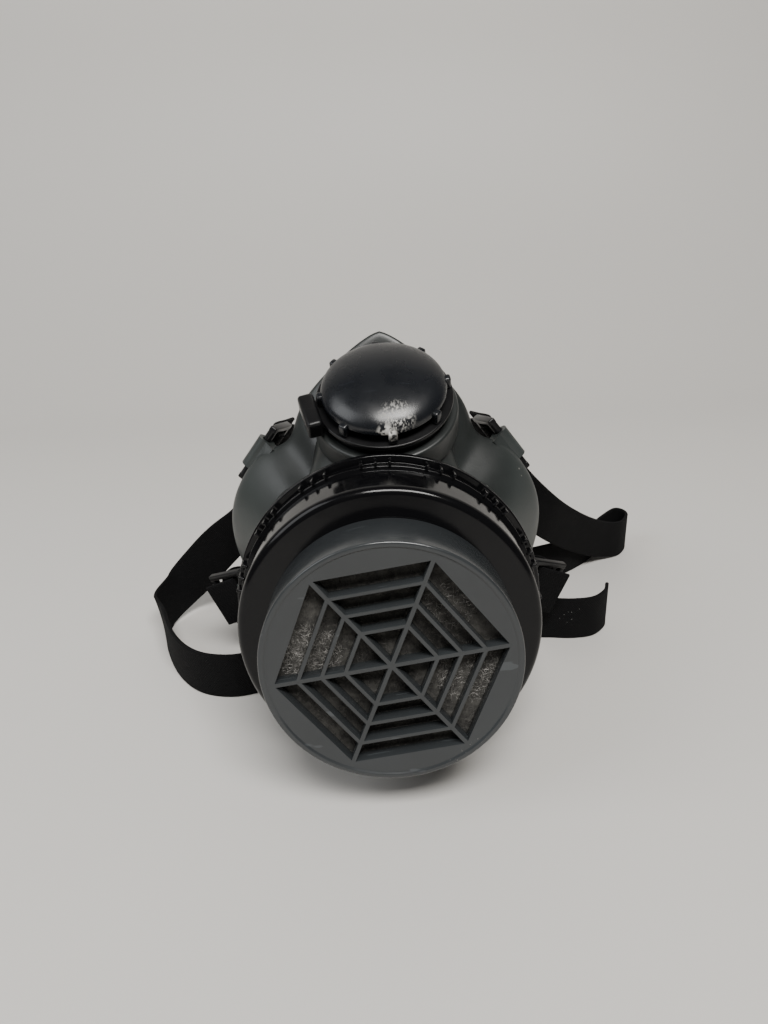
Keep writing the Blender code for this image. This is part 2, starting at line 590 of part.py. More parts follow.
def facepiece():
    """Rubber shell lofted round the filter, with four moulded lugs."""
    bm = bmesh.new()
    columns = []
    for k in range(MASK_STEPS):
        theta = 90.0 + 360.0 * k / MASK_STEPS
        keys = mask_section(theta)
        path = keys[:2] + smooth_path(keys[1:5], 3)[1:] + smooth_path(keys[4:], 2)[1:]
        columns.append([bm.verts.new(p) for p in path])
    for left, right in zip(columns, columns[1:] + columns[:1]):
        for i in range(len(left) - 1):
            bm.faces.new((left[i], left[i + 1], right[i + 1], right[i]))
    shell = mesh_from(bm, "facepiece", closed=False)
    mask = add_object("facepiece", shell, ROOT, MASK_RUBBER)
    wall = mask.modifiers.new("wall", "SOLIDIFY")
    wall.thickness = MASK_WALL
    wall.offset = -1.0
    for side, level in LUGS:
        place, theta = lug_frame(side, level)
        boolean(mask, lug_block(f"lug_{level}_{side}", place, theta), "UNION")
        hole = bmesh.new()
        cylinder(hole, BUCKLE_BAR_R + CLEAR, 2 * LUG_WIDTH, Matrix.Rotation(math.radians(90.0), 4, "Y"))
        hole_obj = add_object(f"lug_hole_{level}_{side}", mesh_from(hole, "lug_hole"), ROOT, cutter=True)
        hole_obj.matrix_local = place
        boolean(mask, hole_obj)
    sleeve_bore = SLEEVE_R - SLEEVE_WALL
    sleeve = turned("tower_sleeve",
                    [(sleeve_bore, SLEEVE_TOP), (SLEEVE_R, SLEEVE_TOP), (SLEEVE_R, TOWER_LENGTH),
                     (sleeve_bore, TOWER_LENGTH)], VALVE_AXIS_EMPTY, cutter=True)
    boolean(mask, sleeve, "UNION")
    bore_r, bore_end = TOWER_R + CLEAR, TOWER_LENGTH + MASK_WALL
    bore = turned("tower_bore", [(0.0, 0.0), (bore_r, 0.0), (bore_r, bore_end), (0.0, bore_end)],
                  VALVE_AXIS_EMPTY, cutter=True)
    boolean(mask, bore)


# ---------------------------------------------------------------- buckles and webbing
BUCKLE_LENGTH = BUCKLE_BAR_R + (BUCKLE_BARS - 1) * (BUCKLE_SLOT + BUCKLE_BAR_WIDTH)


def buckle(side, level):
    """Ladder buckle: a round bar in the lug, then the bars that grip the webbing."""
    place, _ = lug_frame(side, level)
    width = WEBBING_WIDTH + 2 * CLEAR + 2 * BUCKLE_RAIL
    bm = bmesh.new()
    cylinder(bm, BUCKLE_BAR_R, width, Matrix.Rotation(math.radians(90.0), 4, "Y"), segments=16)
    bar = add_object(f"buckle_{level}_{side}", mesh_from(bm, "buckle_bar"), ROOT, BLACK_MATT)
    bar.matrix_local = place
    ladder = bmesh.new()
    for sign in (-1, 1):
        rail = Matrix.Translation((sign * (width - BUCKLE_RAIL) / 2, BUCKLE_LENGTH / 2 - BUCKLE_BAR_R / 2, 0.0))
        box(ladder, (BUCKLE_RAIL, BUCKLE_LENGTH + BUCKLE_BAR_R, BUCKLE_THICK), rail)
    rails = add_object(f"buckle_rails_{level}_{side}", mesh_from(ladder, "buckle_rails"), ROOT, cutter=True)
    rails.matrix_local = place
    boolean(bar, rails, "UNION")
    cross = bmesh.new()
    for k in range(1, BUCKLE_BARS):
        y = BUCKLE_BAR_R + k * BUCKLE_SLOT + (k - 0.5) * BUCKLE_BAR_WIDTH
        box(cross, (width - BUCKLE_RAIL, BUCKLE_BAR_WIDTH, BUCKLE_THICK * 0.8), Matrix.Translation((0.0, y, 0.0)))
    bars = add_object(f"buckle_bars_{level}_{side}", mesh_from(cross, "buckle_bars"), ROOT, cutter=True)
    bars.matrix_local = place
    boolean(bar, bars, "UNION")


def buckle_stops(side, level, spots):
    """Stops of a strap given in a buckle's own frame, with the direction of the webbing's width."""
    place, _ = lug_frame(side, level)
    width = place.to_3x3() @ Vector((1.0, 0.0, 0.0))
    width = width if width.z > 0.0 else -width
    return [(place @ Vector((0.0, along, above)), width) for along, above in spots]


UP = (0.0, 0.0, 1.0)
DOWN = (0.0, 0.0, -1.0)
EDGE_ON_FLOOR = WEBBING_WIDTH / 2 - FLOOR_DROP
# Each stop of a strap: middle of the webbing and its width direction.  Metres across from the filter's centre,
# back from the depth of the rim, and up from the filter's centre.
LEFT_ROUTE = [((-0.0450, 0.0440, 0.0250), (0.90, 0.20, 0.10)),
              ((-0.0500, 0.0460, 0.0080), (0.95, 0.00, -0.25)),
              ((-0.0610, 0.0420, -0.0070), (0.75, 0.10, -0.60)),
              ((-0.0740, 0.0410, -0.0170), (0.45, 0.10, -0.87)),
              ((-0.0872, 0.0450, -0.0310), (0.25, 0.00, -0.96)),
              ((-0.0975, 0.0445, -0.0420), (0.25, 0.00, -0.96)),
              ((-0.1045, 0.0325, EDGE_ON_FLOOR), (0.25, 0.10, -0.96)),
              ((-0.1000, 0.0170, EDGE_ON_FLOOR), DOWN), ((-0.0900, -0.0050, EDGE_ON_FLOOR), DOWN),
              ((-0.0780, -0.0185, EDGE_ON_FLOOR), DOWN), ((-0.0640, -0.0225, EDGE_ON_FLOOR), DOWN),
              ((-0.0500, -0.0190, EDGE_ON_FLOOR), DOWN)]
RIGHT_ROUTE = [((0.0430, 0.0440, 0.0290), (-0.90, 0.20, 0.10)),
               ((0.0490, 0.0450, 0.0160), (-0.90, 0.00, -0.40)),
               ((0.0600, 0.0400, 0.0030), (-0.60, 0.10, -0.78)),
               ((0.0730, 0.0450, -0.0110), (-0.45, 0.10, -0.88)),
               ((0.0850, 0.0570, -0.0230), (-0.25, 0.10, -0.95)),
               ((0.0980, 0.0700, -0.0340), (-0.20, 0.10, -0.97)),
               ((0.1120, 0.0820, -0.0430), (0.00, 0.10, -1.00)), ((0.1250, 0.0910, EDGE_ON_FLOOR), DOWN),
               ((0.1310, 0.1020, EDGE_ON_FLOOR), DOWN), ((0.1270, 0.1085, EDGE_ON_FLOOR), DOWN),
               ((0.1170, 0.0990, EDGE_ON_FLOOR), DOWN), ((0.1040, 0.0830, EDGE_ON_FLOOR), DOWN),
               ((0.0880, 0.0700, EDGE_ON_FLOOR), DOWN), ((0.0700, 0.0620, EDGE_ON_FLOOR), DOWN)]
NECK_ROUTE = [((-0.0550, 0.0210, -0.0340), UP), ((-0.0470, 0.0370, -0.0430), UP),
              ((-0.0300, 0.0510, EDGE_ON_FLOOR), UP), ((0.0000, 0.0570, EDGE_ON_FLOOR), UP),
              ((0.0300, 0.0510, EDGE_ON_FLOOR), UP), ((0.0470, 0.0370, -0.0430), UP),
              ((0.0550, 0.0210, -0.0340), UP)]
TAIL_ROUTE = [((0.0660, 0.0130, EDGE_ON_FLOOR), UP), ((0.0720, 0.0125, EDGE_ON_FLOOR), UP),
              ((0.0810, 0.0115, EDGE_ON_FLOOR), UP), ((0.0900, 0.0130, EDGE_ON_FLOOR), UP),
              ((0.0965, 0.0190, EDGE_ON_FLOOR), UP), ((0.0990, 0.0250, EDGE_ON_FLOOR), UP)]


def webbing(name, stops, steps=3):
    """Flat strap along a route: a strip that turns with its width direction, given its thickness."""
    middles = smooth_path([Vector(p) for p, _ in stops], steps)
    widths = smooth_path([Vector(w).normalized() for _, w in stops], steps)
    bm = bmesh.new()
    rows = []
    for i, (middle, width) in enumerate(zip(middles, widths)):
        run = (middles[min(i + 1, len(middles) - 1)] - middles[max(i - 1, 0)]).normalized()
        across = (width - run * width.dot(run)).normalized() * WEBBING_WIDTH / 2
        reach = abs(across.z) + abs(across.cross(run).z) * WEBBING_THICK / WEBBING_WIDTH
        lifted = Vector((middle.x, middle.y, max(middle.z, reach - FLOOR_DROP)))
        rows.append((bm.verts.new(lifted - across), bm.verts.new(lifted + across)))
    for (a, b), (c, d) in zip(rows, rows[1:]):
        bm.faces.new((a, b, d, c))
    strap = add_object(name, mesh_from(bm, name, closed=False), ROOT, WEBBING)
    wall = strap.modifiers.new("thickness", "SOLIDIFY")
    wall.thickness = WEBBING_THICK
    wall.offset = 0.0


def from_rim(route):
    """Stops of a route with their depth taken from the filter's front."""
    return [((x, y + RIM_DEPTH, z), width) for (x, y, z), width in route]


def harness():
    """Four buckles, the two head straps, the neck strap and its free tail."""
    for side, level in LUGS:
        buckle(side, level)
    straight_back = [(BUCKLE_LENGTH + gap, 0.0) for gap in STRAIGHT_BACK]
    behind = -(BUCKLE_THICK + WEBBING_THICK) / 2 - CLEAR
    folded_back = [(BUCKLE_LENGTH - short, behind - drop) for short, drop in FOLDED_BACK]
    webbing("strap_left", buckle_stops("left", "upper", straight_back) + from_rim(LEFT_ROUTE))
    webbing("strap_right", buckle_stops("right", "upper", straight_back) + from_rim(RIGHT_ROUTE))
    webbing("strap_neck", buckle_stops("left", "lower", folded_back) + from_rim(NECK_ROUTE)
            + buckle_stops("right", "lower", folded_back)[::-1])
    webbing("strap_tail", from_rim(TAIL_ROUTE))


def centre_on_floor():
    """Stand the object on z = 0 with the middle of its box over the origin."""
    bpy.context.view_layer.update()
    depsgraph = bpy.context.evaluated_depsgraph_get()
    corners = []
    for obj in PARTS.objects:
        if obj.type == "MESH":
            solid = obj.evaluated_get(depsgraph)
            corners += [solid.matrix_world @ v.co for v in solid.data.vertices]
    low = Vector([min(c[i] for c in corners) for i in range(3)])
    high = Vector([max(c[i] for c in corners) for i in range(3)])
    middle = (low + high) / 2
    ROOT.location = (-middle.x, -middle.y, -low.z)
    bpy.context.view_layer.update()


prefilter_cap()
cartridge()
filter_socket()
inhale_valve()
exhale_housing()
exhale_valve()
exhale_cap()
facepiece()
harness()
centre_on_floor()
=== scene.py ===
"""Looks of a half-mask respirator: moulded cap and cartridge, rubber facepiece, valve, buckles and webbing.

Metres, +Z up.  Turned pieces are drawn about their own axis with Z out of the mask, and depths run inwards.
"""
import bmesh
import bpy
import json
import math
from mathutils import Matrix, Vector


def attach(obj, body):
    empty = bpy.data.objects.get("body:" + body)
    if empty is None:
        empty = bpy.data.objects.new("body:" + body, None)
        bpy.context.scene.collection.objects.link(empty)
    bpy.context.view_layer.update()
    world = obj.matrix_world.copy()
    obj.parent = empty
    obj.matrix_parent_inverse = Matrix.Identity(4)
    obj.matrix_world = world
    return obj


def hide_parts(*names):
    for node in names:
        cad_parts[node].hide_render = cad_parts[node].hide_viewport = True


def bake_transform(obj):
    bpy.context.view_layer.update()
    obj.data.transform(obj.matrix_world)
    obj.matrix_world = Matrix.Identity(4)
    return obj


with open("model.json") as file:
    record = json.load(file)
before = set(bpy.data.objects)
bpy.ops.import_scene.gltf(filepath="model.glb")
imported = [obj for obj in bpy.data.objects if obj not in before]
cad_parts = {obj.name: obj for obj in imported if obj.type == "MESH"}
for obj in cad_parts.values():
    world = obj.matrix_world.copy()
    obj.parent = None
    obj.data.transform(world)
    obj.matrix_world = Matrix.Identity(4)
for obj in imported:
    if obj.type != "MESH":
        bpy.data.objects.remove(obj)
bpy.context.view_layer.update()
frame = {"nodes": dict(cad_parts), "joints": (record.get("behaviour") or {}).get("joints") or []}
JOINTS = {joint["name"]: joint for joint in frame["joints"]}


# ---- axes, from the frame
def from_columns(x, y, z, origin):
    """Matrix with these axes and origin."""
    matrix = Matrix((x, y, z)).transposed().to_4x4()
    matrix.translation = origin
    return matrix


def at(x=0.0, y=0.0, z=0.0):
    """Matrix that moves."""
    return Matrix.Translation((x, y, z))


def spun(axis, degrees):
    """Matrix that turns about an axis."""
    return Matrix.Rotation(math.radians(degrees), 4, axis)


ACROSS = Vector((1.0, 0.0, 0.0))
FILTER_ORIGIN = Vector(JOINTS["cartridge_turn"]["pos_m"])
FILTER_DIRECTION = Vector(JOINTS["cartridge_turn"]["axis"]).normalized()
FILTER = from_columns(ACROSS, FILTER_DIRECTION.cross(ACROSS), FILTER_DIRECTION, FILTER_ORIGIN)
REST = at(*FILTER_ORIGIN)
VALVE_ORIGIN = Vector(JOINTS["exhale_cap_turn"]["pos_m"])
VALVE_DIRECTION = Vector(JOINTS["exhale_cap_turn"]["axis"]).normalized()
VALVE = at(*VALVE_ORIGIN) @ VALVE_DIRECTION.to_track_quat("Z", "Y").to_matrix().to_4x4()
FLOOR_DROP = FILTER_ORIGIN.z

# ---- sizes (metres, degrees)
ROUND = 176                # segments round the large pieces
SMALL_ROUND = 96
CLEAR = 0.0003

CAP_R = 0.0400
CAP_DEPTH = 0.0203
CAP_WALL = 0.0016
CAP_EDGE = 0.0016
CAP_BEAD_R = 0.0384        # inner foot of the raised bead round the face
CAP_BEAD_FOOT = 0.0006
CAP_FACE = 0.0005          # face lies this far below the bead
WINDOW_R = 0.0360
WINDOW_TURN = 8.8
WEB_EASE = 0.00022
WEB_STEP = 0.0073
WEB_BAR = 0.0013
WEB_BARS = 3
WEB_DEPTH = 0.0048
PAD_FRONT = 0.0057
PAD_THICK = 0.0051
PAD_RINGS = 28
FIBRE_LENGTH = 0.0021
FIBRE_R = 0.00004
FIBRE_SEED = 7
FIBRE_BED = 0.00001        # thickness of the disc that the fibres lie on

DRUM_FRONT = 0.0207
DRUM_R = 0.0496
DRUM_EDGE = 0.0026
DRUM_BORE_R = 0.0480
NECK_R = 0.0381
NECK_BORE_R = 0.0359
NECK_FRONT = 0.0139
COLLAR_R = 0.0512
COLLAR_FRONT = 0.0390
COLLAR_BACK = 0.0429
COLLAR_RAMP = 0.0005
GROOVE_R = 0.0504
FLANGE_FRONT = 0.0455
FLANGE_BACK = 0.0480
FLANGE_R = 0.0533
RIB_GROUPS = 15
RIB_PITCH = 5.2
RIB_GROUP_START = 93.2
RIB_SIZE = (0.0046, 0.0010, 0.0022)    # along the axis, round the collar, out of it
RIB_SINK = 0.0006
RIB_EASE = 0.00025

BASE_FRONT = 0.0444
BASE_BACK = 0.0474
THREAD_R = 0.0200
THREAD_BORE_R = 0.0165
THREAD_ROOT_R = 0.0188
THREAD_PITCH = 0.00363
THREAD_TURNS = 3
THREAD_START = 0.0010
NECK_END = 0.0596
SOCKET_FRONT = 0.0486
SOCKET_PLATE_R = 0.0370
SOCKET_PLATE_BACK = 0.0505
SOCKET_BORE_R = 0.0204
SOCKET_HUB_R = 0.0269
SHELF_FRONT = 0.0622
SOCKET_BACK = 0.0644
MASK_FRONT = 0.0508
NUT_FRONT = 0.0535
NUT_BACK = 0.0571
NUT_R = 0.0335
NUT_NOTCHES = 12
NOTCH_SIZE = (0.0040, 0.0046, 0.0080)
NOTCH_STAND = 0.0004
NOTCH_START = 0.1

DOME_R = 0.0221
DOME_RISE = 0.0072
DOME_WALL = 0.0014
DOME_SKIRT = 0.0004
DOME_STEPS = (18, 8)         # outside and inside
LEG_COUNT = 8
LEG_TURN = 10.0
LEG_TIP_R = 0.0237
LEG_ROOT_R = 0.0186
LEG_WIDTH = 0.0031
LEG_HEIGHT = 0.0047
LEG_TOP = 0.0012
LEG_EASE = 0.0008
SCUFF = (0.0052, -0.0176, 0.45 * DOME_RISE)    # marks on the cap, about the valve's centre
WORN_LEG = (0.0020, -0.0215, 0.0)
COLLAR_TOP = 0.0038
VALVE_COLLAR_R = 0.0244
VALVE_COLLAR_THICK = 0.0016
TOWER_R = 0.0228
TOWER_BORE_R = 0.0198
TOWER_END = 0.0190
SPIGOT_R = 0.0182
SPIGOT_BORE_R = 0.0167
SPIGOT_TOP = 0.0010
SEAT_SHELF = 0.0018
THUMB_TAB_SIZE = (0.0058, 0.0160, 0.0072)
THUMB_TAB_TURN = 199.0
THUMB_TAB_SINK = 0.0005
THUMB_TAB_DROP = 0.0004
THUMB_TAB_EASE = 0.0014
SLEEVE_R = 0.0262
SLEEVE_TOP = 0.0088
SLEEVE_WALL = 0.0045
SLEEVE_EASE = 0.0012

MASK_WALL = 0.0024
MASK_FRONT_R = 0.0400
MASK_RIM_R = 0.0572
NOSE_ANGLE = 90.0
NOSE_RISE = 0.0240
NOSE_SPREAD = (24.5, 1.3)  # degrees, and how sharp
NOSE_RIDGE = 32.0          # spread of the nose over the flanks
CHIN_ANGLE = 270.0
CHIN_SPREAD = 40.0
CHEEK_RISE = 0.0046
CHEEK_ANGLE = 16.0
CHEEK_SPREAD = 25.0
WAIST = 0.0055
WAIST_ANGLE = 50.0
WAIST_SPREAD = 9.0
RIM_DEPTH = 0.0880
NOSE_SETBACK = 0.0100
CHIN_FORWARD = 0.0060
SEAL_WIDTH = 0.0130
SEAL_LIP = (0.0045, 0.0045)        # in from the rim and back from it
SEAL_CURL = 0.0040
SHOULDER = 0.0035
CREASE = (0.0135, -0.0160)         # in from the rim and back from it, at the cheeks
CREASE_AT_NOSE = (-0.0035, 0.0125)     # added at the nose
FLANK_BULGE = 0.0030
MASK_COLUMNS = 264
MASK_ROWS = 9              # between two key points of the wall

LUG_R = 0.0034
LUG_WIDTH = 0.0130
LUG_WEB = 0.75              # half of the web, as a share of the eye
LUG_STEPS = 28
LUG_ROOT = (0.0042, 0.0010)
LUG_LEAN = {"upper": -18.0, "lower": 66.0}
BUCKLE_BAR_R = 0.0016
BUCKLE_RAIL = 0.0024
BUCKLE_THICK = 0.0030
BUCKLE_SLOT = 0.0044
BUCKLE_BARS = 2
BUCKLE_BAR_WIDTH = 0.0026
BUCKLE_RAIL_EASE = 0.0006
BUCKLE_GRIP_THICK = 0.8 * BUCKLE_THICK
BUCKLE_GRIP_EASE = 0.0005
BUCKLE_LENGTH = BUCKLE_BAR_R + BUCKLE_BARS * (BUCKLE_SLOT + BUCKLE_BAR_WIDTH)
WEBBING_WIDTH = 0.0200
WEBBING_THICK = 0.0016
CORD_PITCH = 0.00125
WEFT_PITCH = 0.0010
STRAP_STEPS = 14            # rows between two stops


# ---- mesh helpers
def link(name, mesh):
    """New object for a mesh."""
    obj = bpy.data.objects.new(name, mesh)
    bpy.context.scene.collection.objects.link(obj)
    return obj


def to_mesh(bm, name, turn_out=True):
    """Mesh from a bmesh, with faces turned out."""
    bm.normal_update()
    if turn_out:
        bmesh.ops.recalc_face_normals(bm, faces=bm.faces)
    mesh = bpy.data.meshes.new(name)
    bm.to_mesh(mesh)
    bm.free()
    return mesh


def settled(obj, place=Matrix()):
    """The same object as a plain mesh with its modifiers applied and its place in the mesh."""
    bpy.context.view_layer.update()
    depsgraph = bpy.context.evaluated_depsgraph_get()
    mesh = bpy.data.meshes.new_from_object(obj.evaluated_get(depsgraph))
    mesh.transform(place)
    name = obj.name
    bpy.data.objects.remove(obj)
    return link(name, mesh)


def joined(name, *objs):
    """One object from several plain ones; they are removed."""
    bm = bmesh.new()
    for obj in objs:
        bm.from_mesh(obj.data)
        bpy.data.objects.remove(obj)
    return link(name, to_mesh(bm, name, turn_out=False))


def piece(obj, body, slot, finish, *nodes, crease=38.0):
    """Finish a piece: shading, material, the body it rides on and the CAD nodes it stands for."""
    obj.data.materials.clear()
    obj.data.materials.append(finish)
    obj.data.shade_smooth()
    obj.data.set_sharp_from_angle(angle=math.radians(crease))
    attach(obj, body)
    if nodes:
        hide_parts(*nodes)
    return obj


def filleted(corners, steps=5):
    """Profile from (radius, depth, fillet) corners, each fillet drawn as an arc."""
    out = []
    count = len(corners)
    for i, (r, depth, fillet) in enumerate(corners):
        here = Vector((r, depth))
        before = Vector(corners[i - 1][:2]) - here
        after = Vector(corners[(i + 1) % count][:2]) - here
        if fillet == 0.0 or min(before.length, after.length) == 0.0:
            out.append((r, depth))
            continue
        half = before.angle(after) / 2
        tangent = min(fillet / math.tan(half), 0.48 * before.length, 0.48 * after.length)
        radius = tangent * math.tan(half)
        centre = here + (before.normalized() + after.normalized()).normalized() * radius / math.sin(half)
        start = here + before.normalized() * tangent - centre
        end = here + after.normalized() * tangent - centre
        sweep = start.angle_signed(end)
        for k in range(steps + 1):
            turn = -sweep * k / steps
            point = centre + Matrix.Rotation(turn, 2) @ start
            out.append((max(point.x, 0.0), point.y))
    return out


def turned(name, corners, place, segments=ROUND):
    """Turned piece; its profile is closed unless it starts and ends on the axis."""
    profile = filleted(corners)
    bm = bmesh.new()
    rings = []
    for r, depth in profile:
        count = 1 if r < 1e-6 else segments
        rings.append([bm.verts.new((r * math.cos(a), r * math.sin(a), -depth))
                      for a in (math.tau * k / segments for k in range(count))])
    pairs = list(zip(rings, rings[1:]))
    if len(rings[0]) > 1 or len(rings[-1]) > 1:
        pairs.append((rings[-1], rings[0]))
    for first, second in pairs:
        if len(first) == len(second) == 1:
            continue
        for k in range(segments):
            corner = [first[k % len(first)], first[(k + 1) % segments % len(first)],
                      second[(k + 1) % segments % len(second)], second[k % len(second)]]
            bm.faces.new(list(dict.fromkeys(corner)))
    obj = link(name, to_mesh(bm, name))
    obj.data.transform(place)
    return obj


def rounded_box(name, size, bevel, place=Matrix(), segments=3):
    """Box with rounded edges."""
    bm = bmesh.new()
    bmesh.ops.create_cube(bm, size=1.0, matrix=Matrix.Diagonal((*size, 1.0)))
    bmesh.ops.bevel(bm, geom=bm.edges[:], offset=bevel, segments=segments, affect="EDGES", profile=0.5)
    bm.transform(place)
    return link(name, to_mesh(bm, name))


def rod(name, radius, length, place=Matrix(), segments=40, bevel=0.0003):
    """Straight rod along its own Z with eased ends."""
    bm = bmesh.new()
    bmesh.ops.create_cone(bm, cap_ends=True, segments=segments, radius1=radius, radius2=radius, depth=length)
    ends = [e for e in bm.edges if abs(e.verts[0].co.z - e.verts[1].co.z) < 1e-9]
    bmesh.ops.bevel(bm, geom=ends, offset=bevel, segments=2, affect="EDGES")
    bm.transform(place)
    return link(name, to_mesh(bm, name))


def prism(bm, outline, low, high):
    """Closed prism on an outline of (x, y) points."""
    bottom = bm.faces.new([bm.verts.new((x, y, low)) for x, y in outline])
    raised = bmesh.ops.extrude_face_region(bm, geom=[bottom])["geom"]
    tops = [v for v in raised if isinstance(v, bmesh.types.BMVert)]
    bmesh.ops.translate(bm, verts=tops, vec=(0.0, 0.0, high - low))


def combined(obj, other, operation):
    """Boolean of two closed pieces; the other is removed."""
    modifier = obj.modifiers.new("combine", "BOOLEAN")
    modifier.operation = operation
    modifier.solver = "MANIFOLD"
    modifier.object = other
    made = settled(obj)
    bpy.data.objects.remove(other)
    return made


def eased(obj, width, segments=2, angle=40.0):
    """Ease the sharp edges of a piece."""
    bevel = obj.modifiers.new("ease", "BEVEL")
    bevel.width = width
    bevel.segments = segments
    bevel.limit_method = "ANGLE"
    bevel.angle_limit = math.radians(angle)
    bevel.use_clamp_overlap = True
    return settled(obj)


def smooth_path(points, steps):
    """Catmull-Rom curve through a list of vectors."""
    ends = [points[0] * 2 - points[1], *points, points[-1] * 2 - points[-2]]
    out = []
    for a, b, c, d in zip(ends, ends[1:], ends[2:], ends[3:]):
        for i in range(steps):
            t = i / steps
            out.append(0.5 * (2 * b + (c - a) * t + (2 * a - 5 * b + 4 * c - d) * t ** 2
                              + (3 * b - a - 3 * c + d) * t ** 3))
    return out + [points[-1]]


# ---- geometry node trees
class Tree:
    """A node tree that is built a node at a time."""

    def __init__(self, tree):
        self.tree = tree

    def node(self, kind, values=None, **settings):
        made = self.tree.nodes.new(kind)
        for key, value in settings.items():
            setattr(made, key, value)
        for key, value in (values or {}).items():
            if hasattr(value, "is_output"):
                self.tree.links.new(value, made.inputs[key])
            else:
                made.inputs[key].default_value = value
        return made

    def out(self, kind, values=None, **settings):
        """First output of a new node."""
        return self.node(kind, values, **settings).outputs[0]

    def math(self, operation, a, b=0.0, c=0.0):
        return self.out("ShaderNodeMath", {0: a, 1: b, 2: c}, operation=operation)


def geometry_tree(name, inputs):
    """New geometry node tree with a geometry in and out, and named inputs."""
    group = bpy.data.node_groups.new(name, "GeometryNodeTree")
    group.interface.new_socket("Geometry", in_out="INPUT", socket_type="NodeSocketGeometry")
    for label, kind in inputs:
        group.interface.new_socket(label, in_out="INPUT", socket_type=kind)
    group.interface.new_socket("Geometry", in_out="OUTPUT", socket_type="NodeSocketGeometry")
    tree = Tree(group)
    return tree, tree.node("NodeGroupInput").outputs


def close_tree(tree, geometry, finish):
    """End a tree in real geometry with its material."""
    real = tree.out("GeometryNodeRealizeInstances", {"Geometry": geometry})
    coloured = tree.out("GeometryNodeSetMaterial", {"Geometry": real, "Material": finish})
    tree.node("NodeGroupOutput", {0: coloured})
    return tree.tree


def run_tree(obj, group, values, place=Matrix()):
    """Give an object a tree with its inputs set, and return the plain mesh it makes."""
    modifier = obj.modifiers.new(group.name, "NODES")
    modifier.node_group = group
    sockets = {item.name: item.identifier for item in group.interface.items_tree if item.in_out == "INPUT"}
    for label, value in values.items():
        modifier[sockets[label]] = value
    return settled(obj, place)


def ring_tree(finish):
    """Repeats a piece round Z."""
    tree, given = geometry_tree("ring_of_pieces", [("Count", "NodeSocketInt"), ("Step", "NodeSocketFloat"),
                                                   ("Start", "NodeSocketFloat")])
    line = tree.out("GeometryNodeMeshLine", {"Count": given["Count"], "Offset": (0.0, 0.0, 0.0)})
    index = tree.out("GeometryNodeInputIndex")
    angle = tree.math("MULTIPLY_ADD", index, given["Step"], given["Start"])
    turn = tree.out("ShaderNodeCombineXYZ", {"Z": angle})
    copies = tree.out("GeometryNodeInstanceOnPoints",
                      {"Points": line, "Instance": given["Geometry"], "Rotation": turn})
    return close_tree(tree, copies, finish)


def thread_tree(finish):
    """A ridge that winds round Z."""
    tree, given = geometry_tree("thread_ridge", [("Turns", "NodeSocketFloat"), ("Radius", "NodeSocketFloat"),
                                                 ("Pitch", "NodeSocketFloat"), ("Ridge", "NodeSocketFloat")])
    height = tree.math("MULTIPLY", given["Turns"], given["Pitch"])
    helix = tree.out("GeometryNodeCurveSpiral",
                     {"Resolution": 64, "Rotations": given["Turns"], "Start Radius": given["Radius"],
                      "End Radius": given["Radius"], "Height": height})
    round_bar = tree.out("GeometryNodeCurvePrimitiveCircle", {"Resolution": 8, "Radius": given["Ridge"]})
    ridge = tree.out("GeometryNodeCurveToMesh", {"Curve": helix, "Profile Curve": round_bar, "Fill Caps": True})
    return close_tree(tree, ridge, finish)


def fibre_tree(finish):
    """Short bent fibres that lie on a surface."""
    tree, given = geometry_tree("loose_fibres", [
        ("Count", "NodeSocketInt"), ("Length", "NodeSocketFloat"), ("Thickness", "NodeSocketFloat"),
        ("Area", "NodeSocketFloat"), ("Seed", "NodeSocketInt")])
    density = tree.math("DIVIDE", given["Count"], given["Area"])
    points = tree.out("GeometryNodeDistributePointsOnFaces",
                      {"Mesh": given["Geometry"], "Density": density, "Seed": given["Seed"]})
    along = ((axis, tree.math("MULTIPLY", given["Length"], share))
             for axis, share in (("X", -0.5), ("Y", 0.3), ("X", 0.5)))
    start, middle, end = (tree.out("ShaderNodeCombineXYZ", {axis: reach}) for axis, reach in along)
    bow = tree.out("GeometryNodeCurveQuadraticBezier",
                   {"Resolution": 4, "Start": start, "Middle": middle, "End": end})
    section = tree.out("GeometryNodeCurvePrimitiveCircle", {"Resolution": 3, "Radius": given["Thickness"]})
    fibre = tree.out("GeometryNodeCurveToMesh", {"Curve": bow, "Profile Curve": section, "Fill Caps": True})
    spin = tree.out("FunctionNodeRandomValue", {0: (-0.45, -0.45, 0.0), 1: (0.45, 0.45, math.tau),
                                                "Seed": given["Seed"]}, data_type="FLOAT_VECTOR")
    size = tree.node("FunctionNodeRandomValue", {2: 0.5, 3: 1.4, "Seed": given["Seed"]},
                     data_type="FLOAT").outputs[1]
    copies = tree.out("GeometryNodeInstanceOnPoints",
                      {"Points": points, "Instance": fibre, "Rotation": spin, "Scale": size})
    return close_tree(tree, copies, finish)


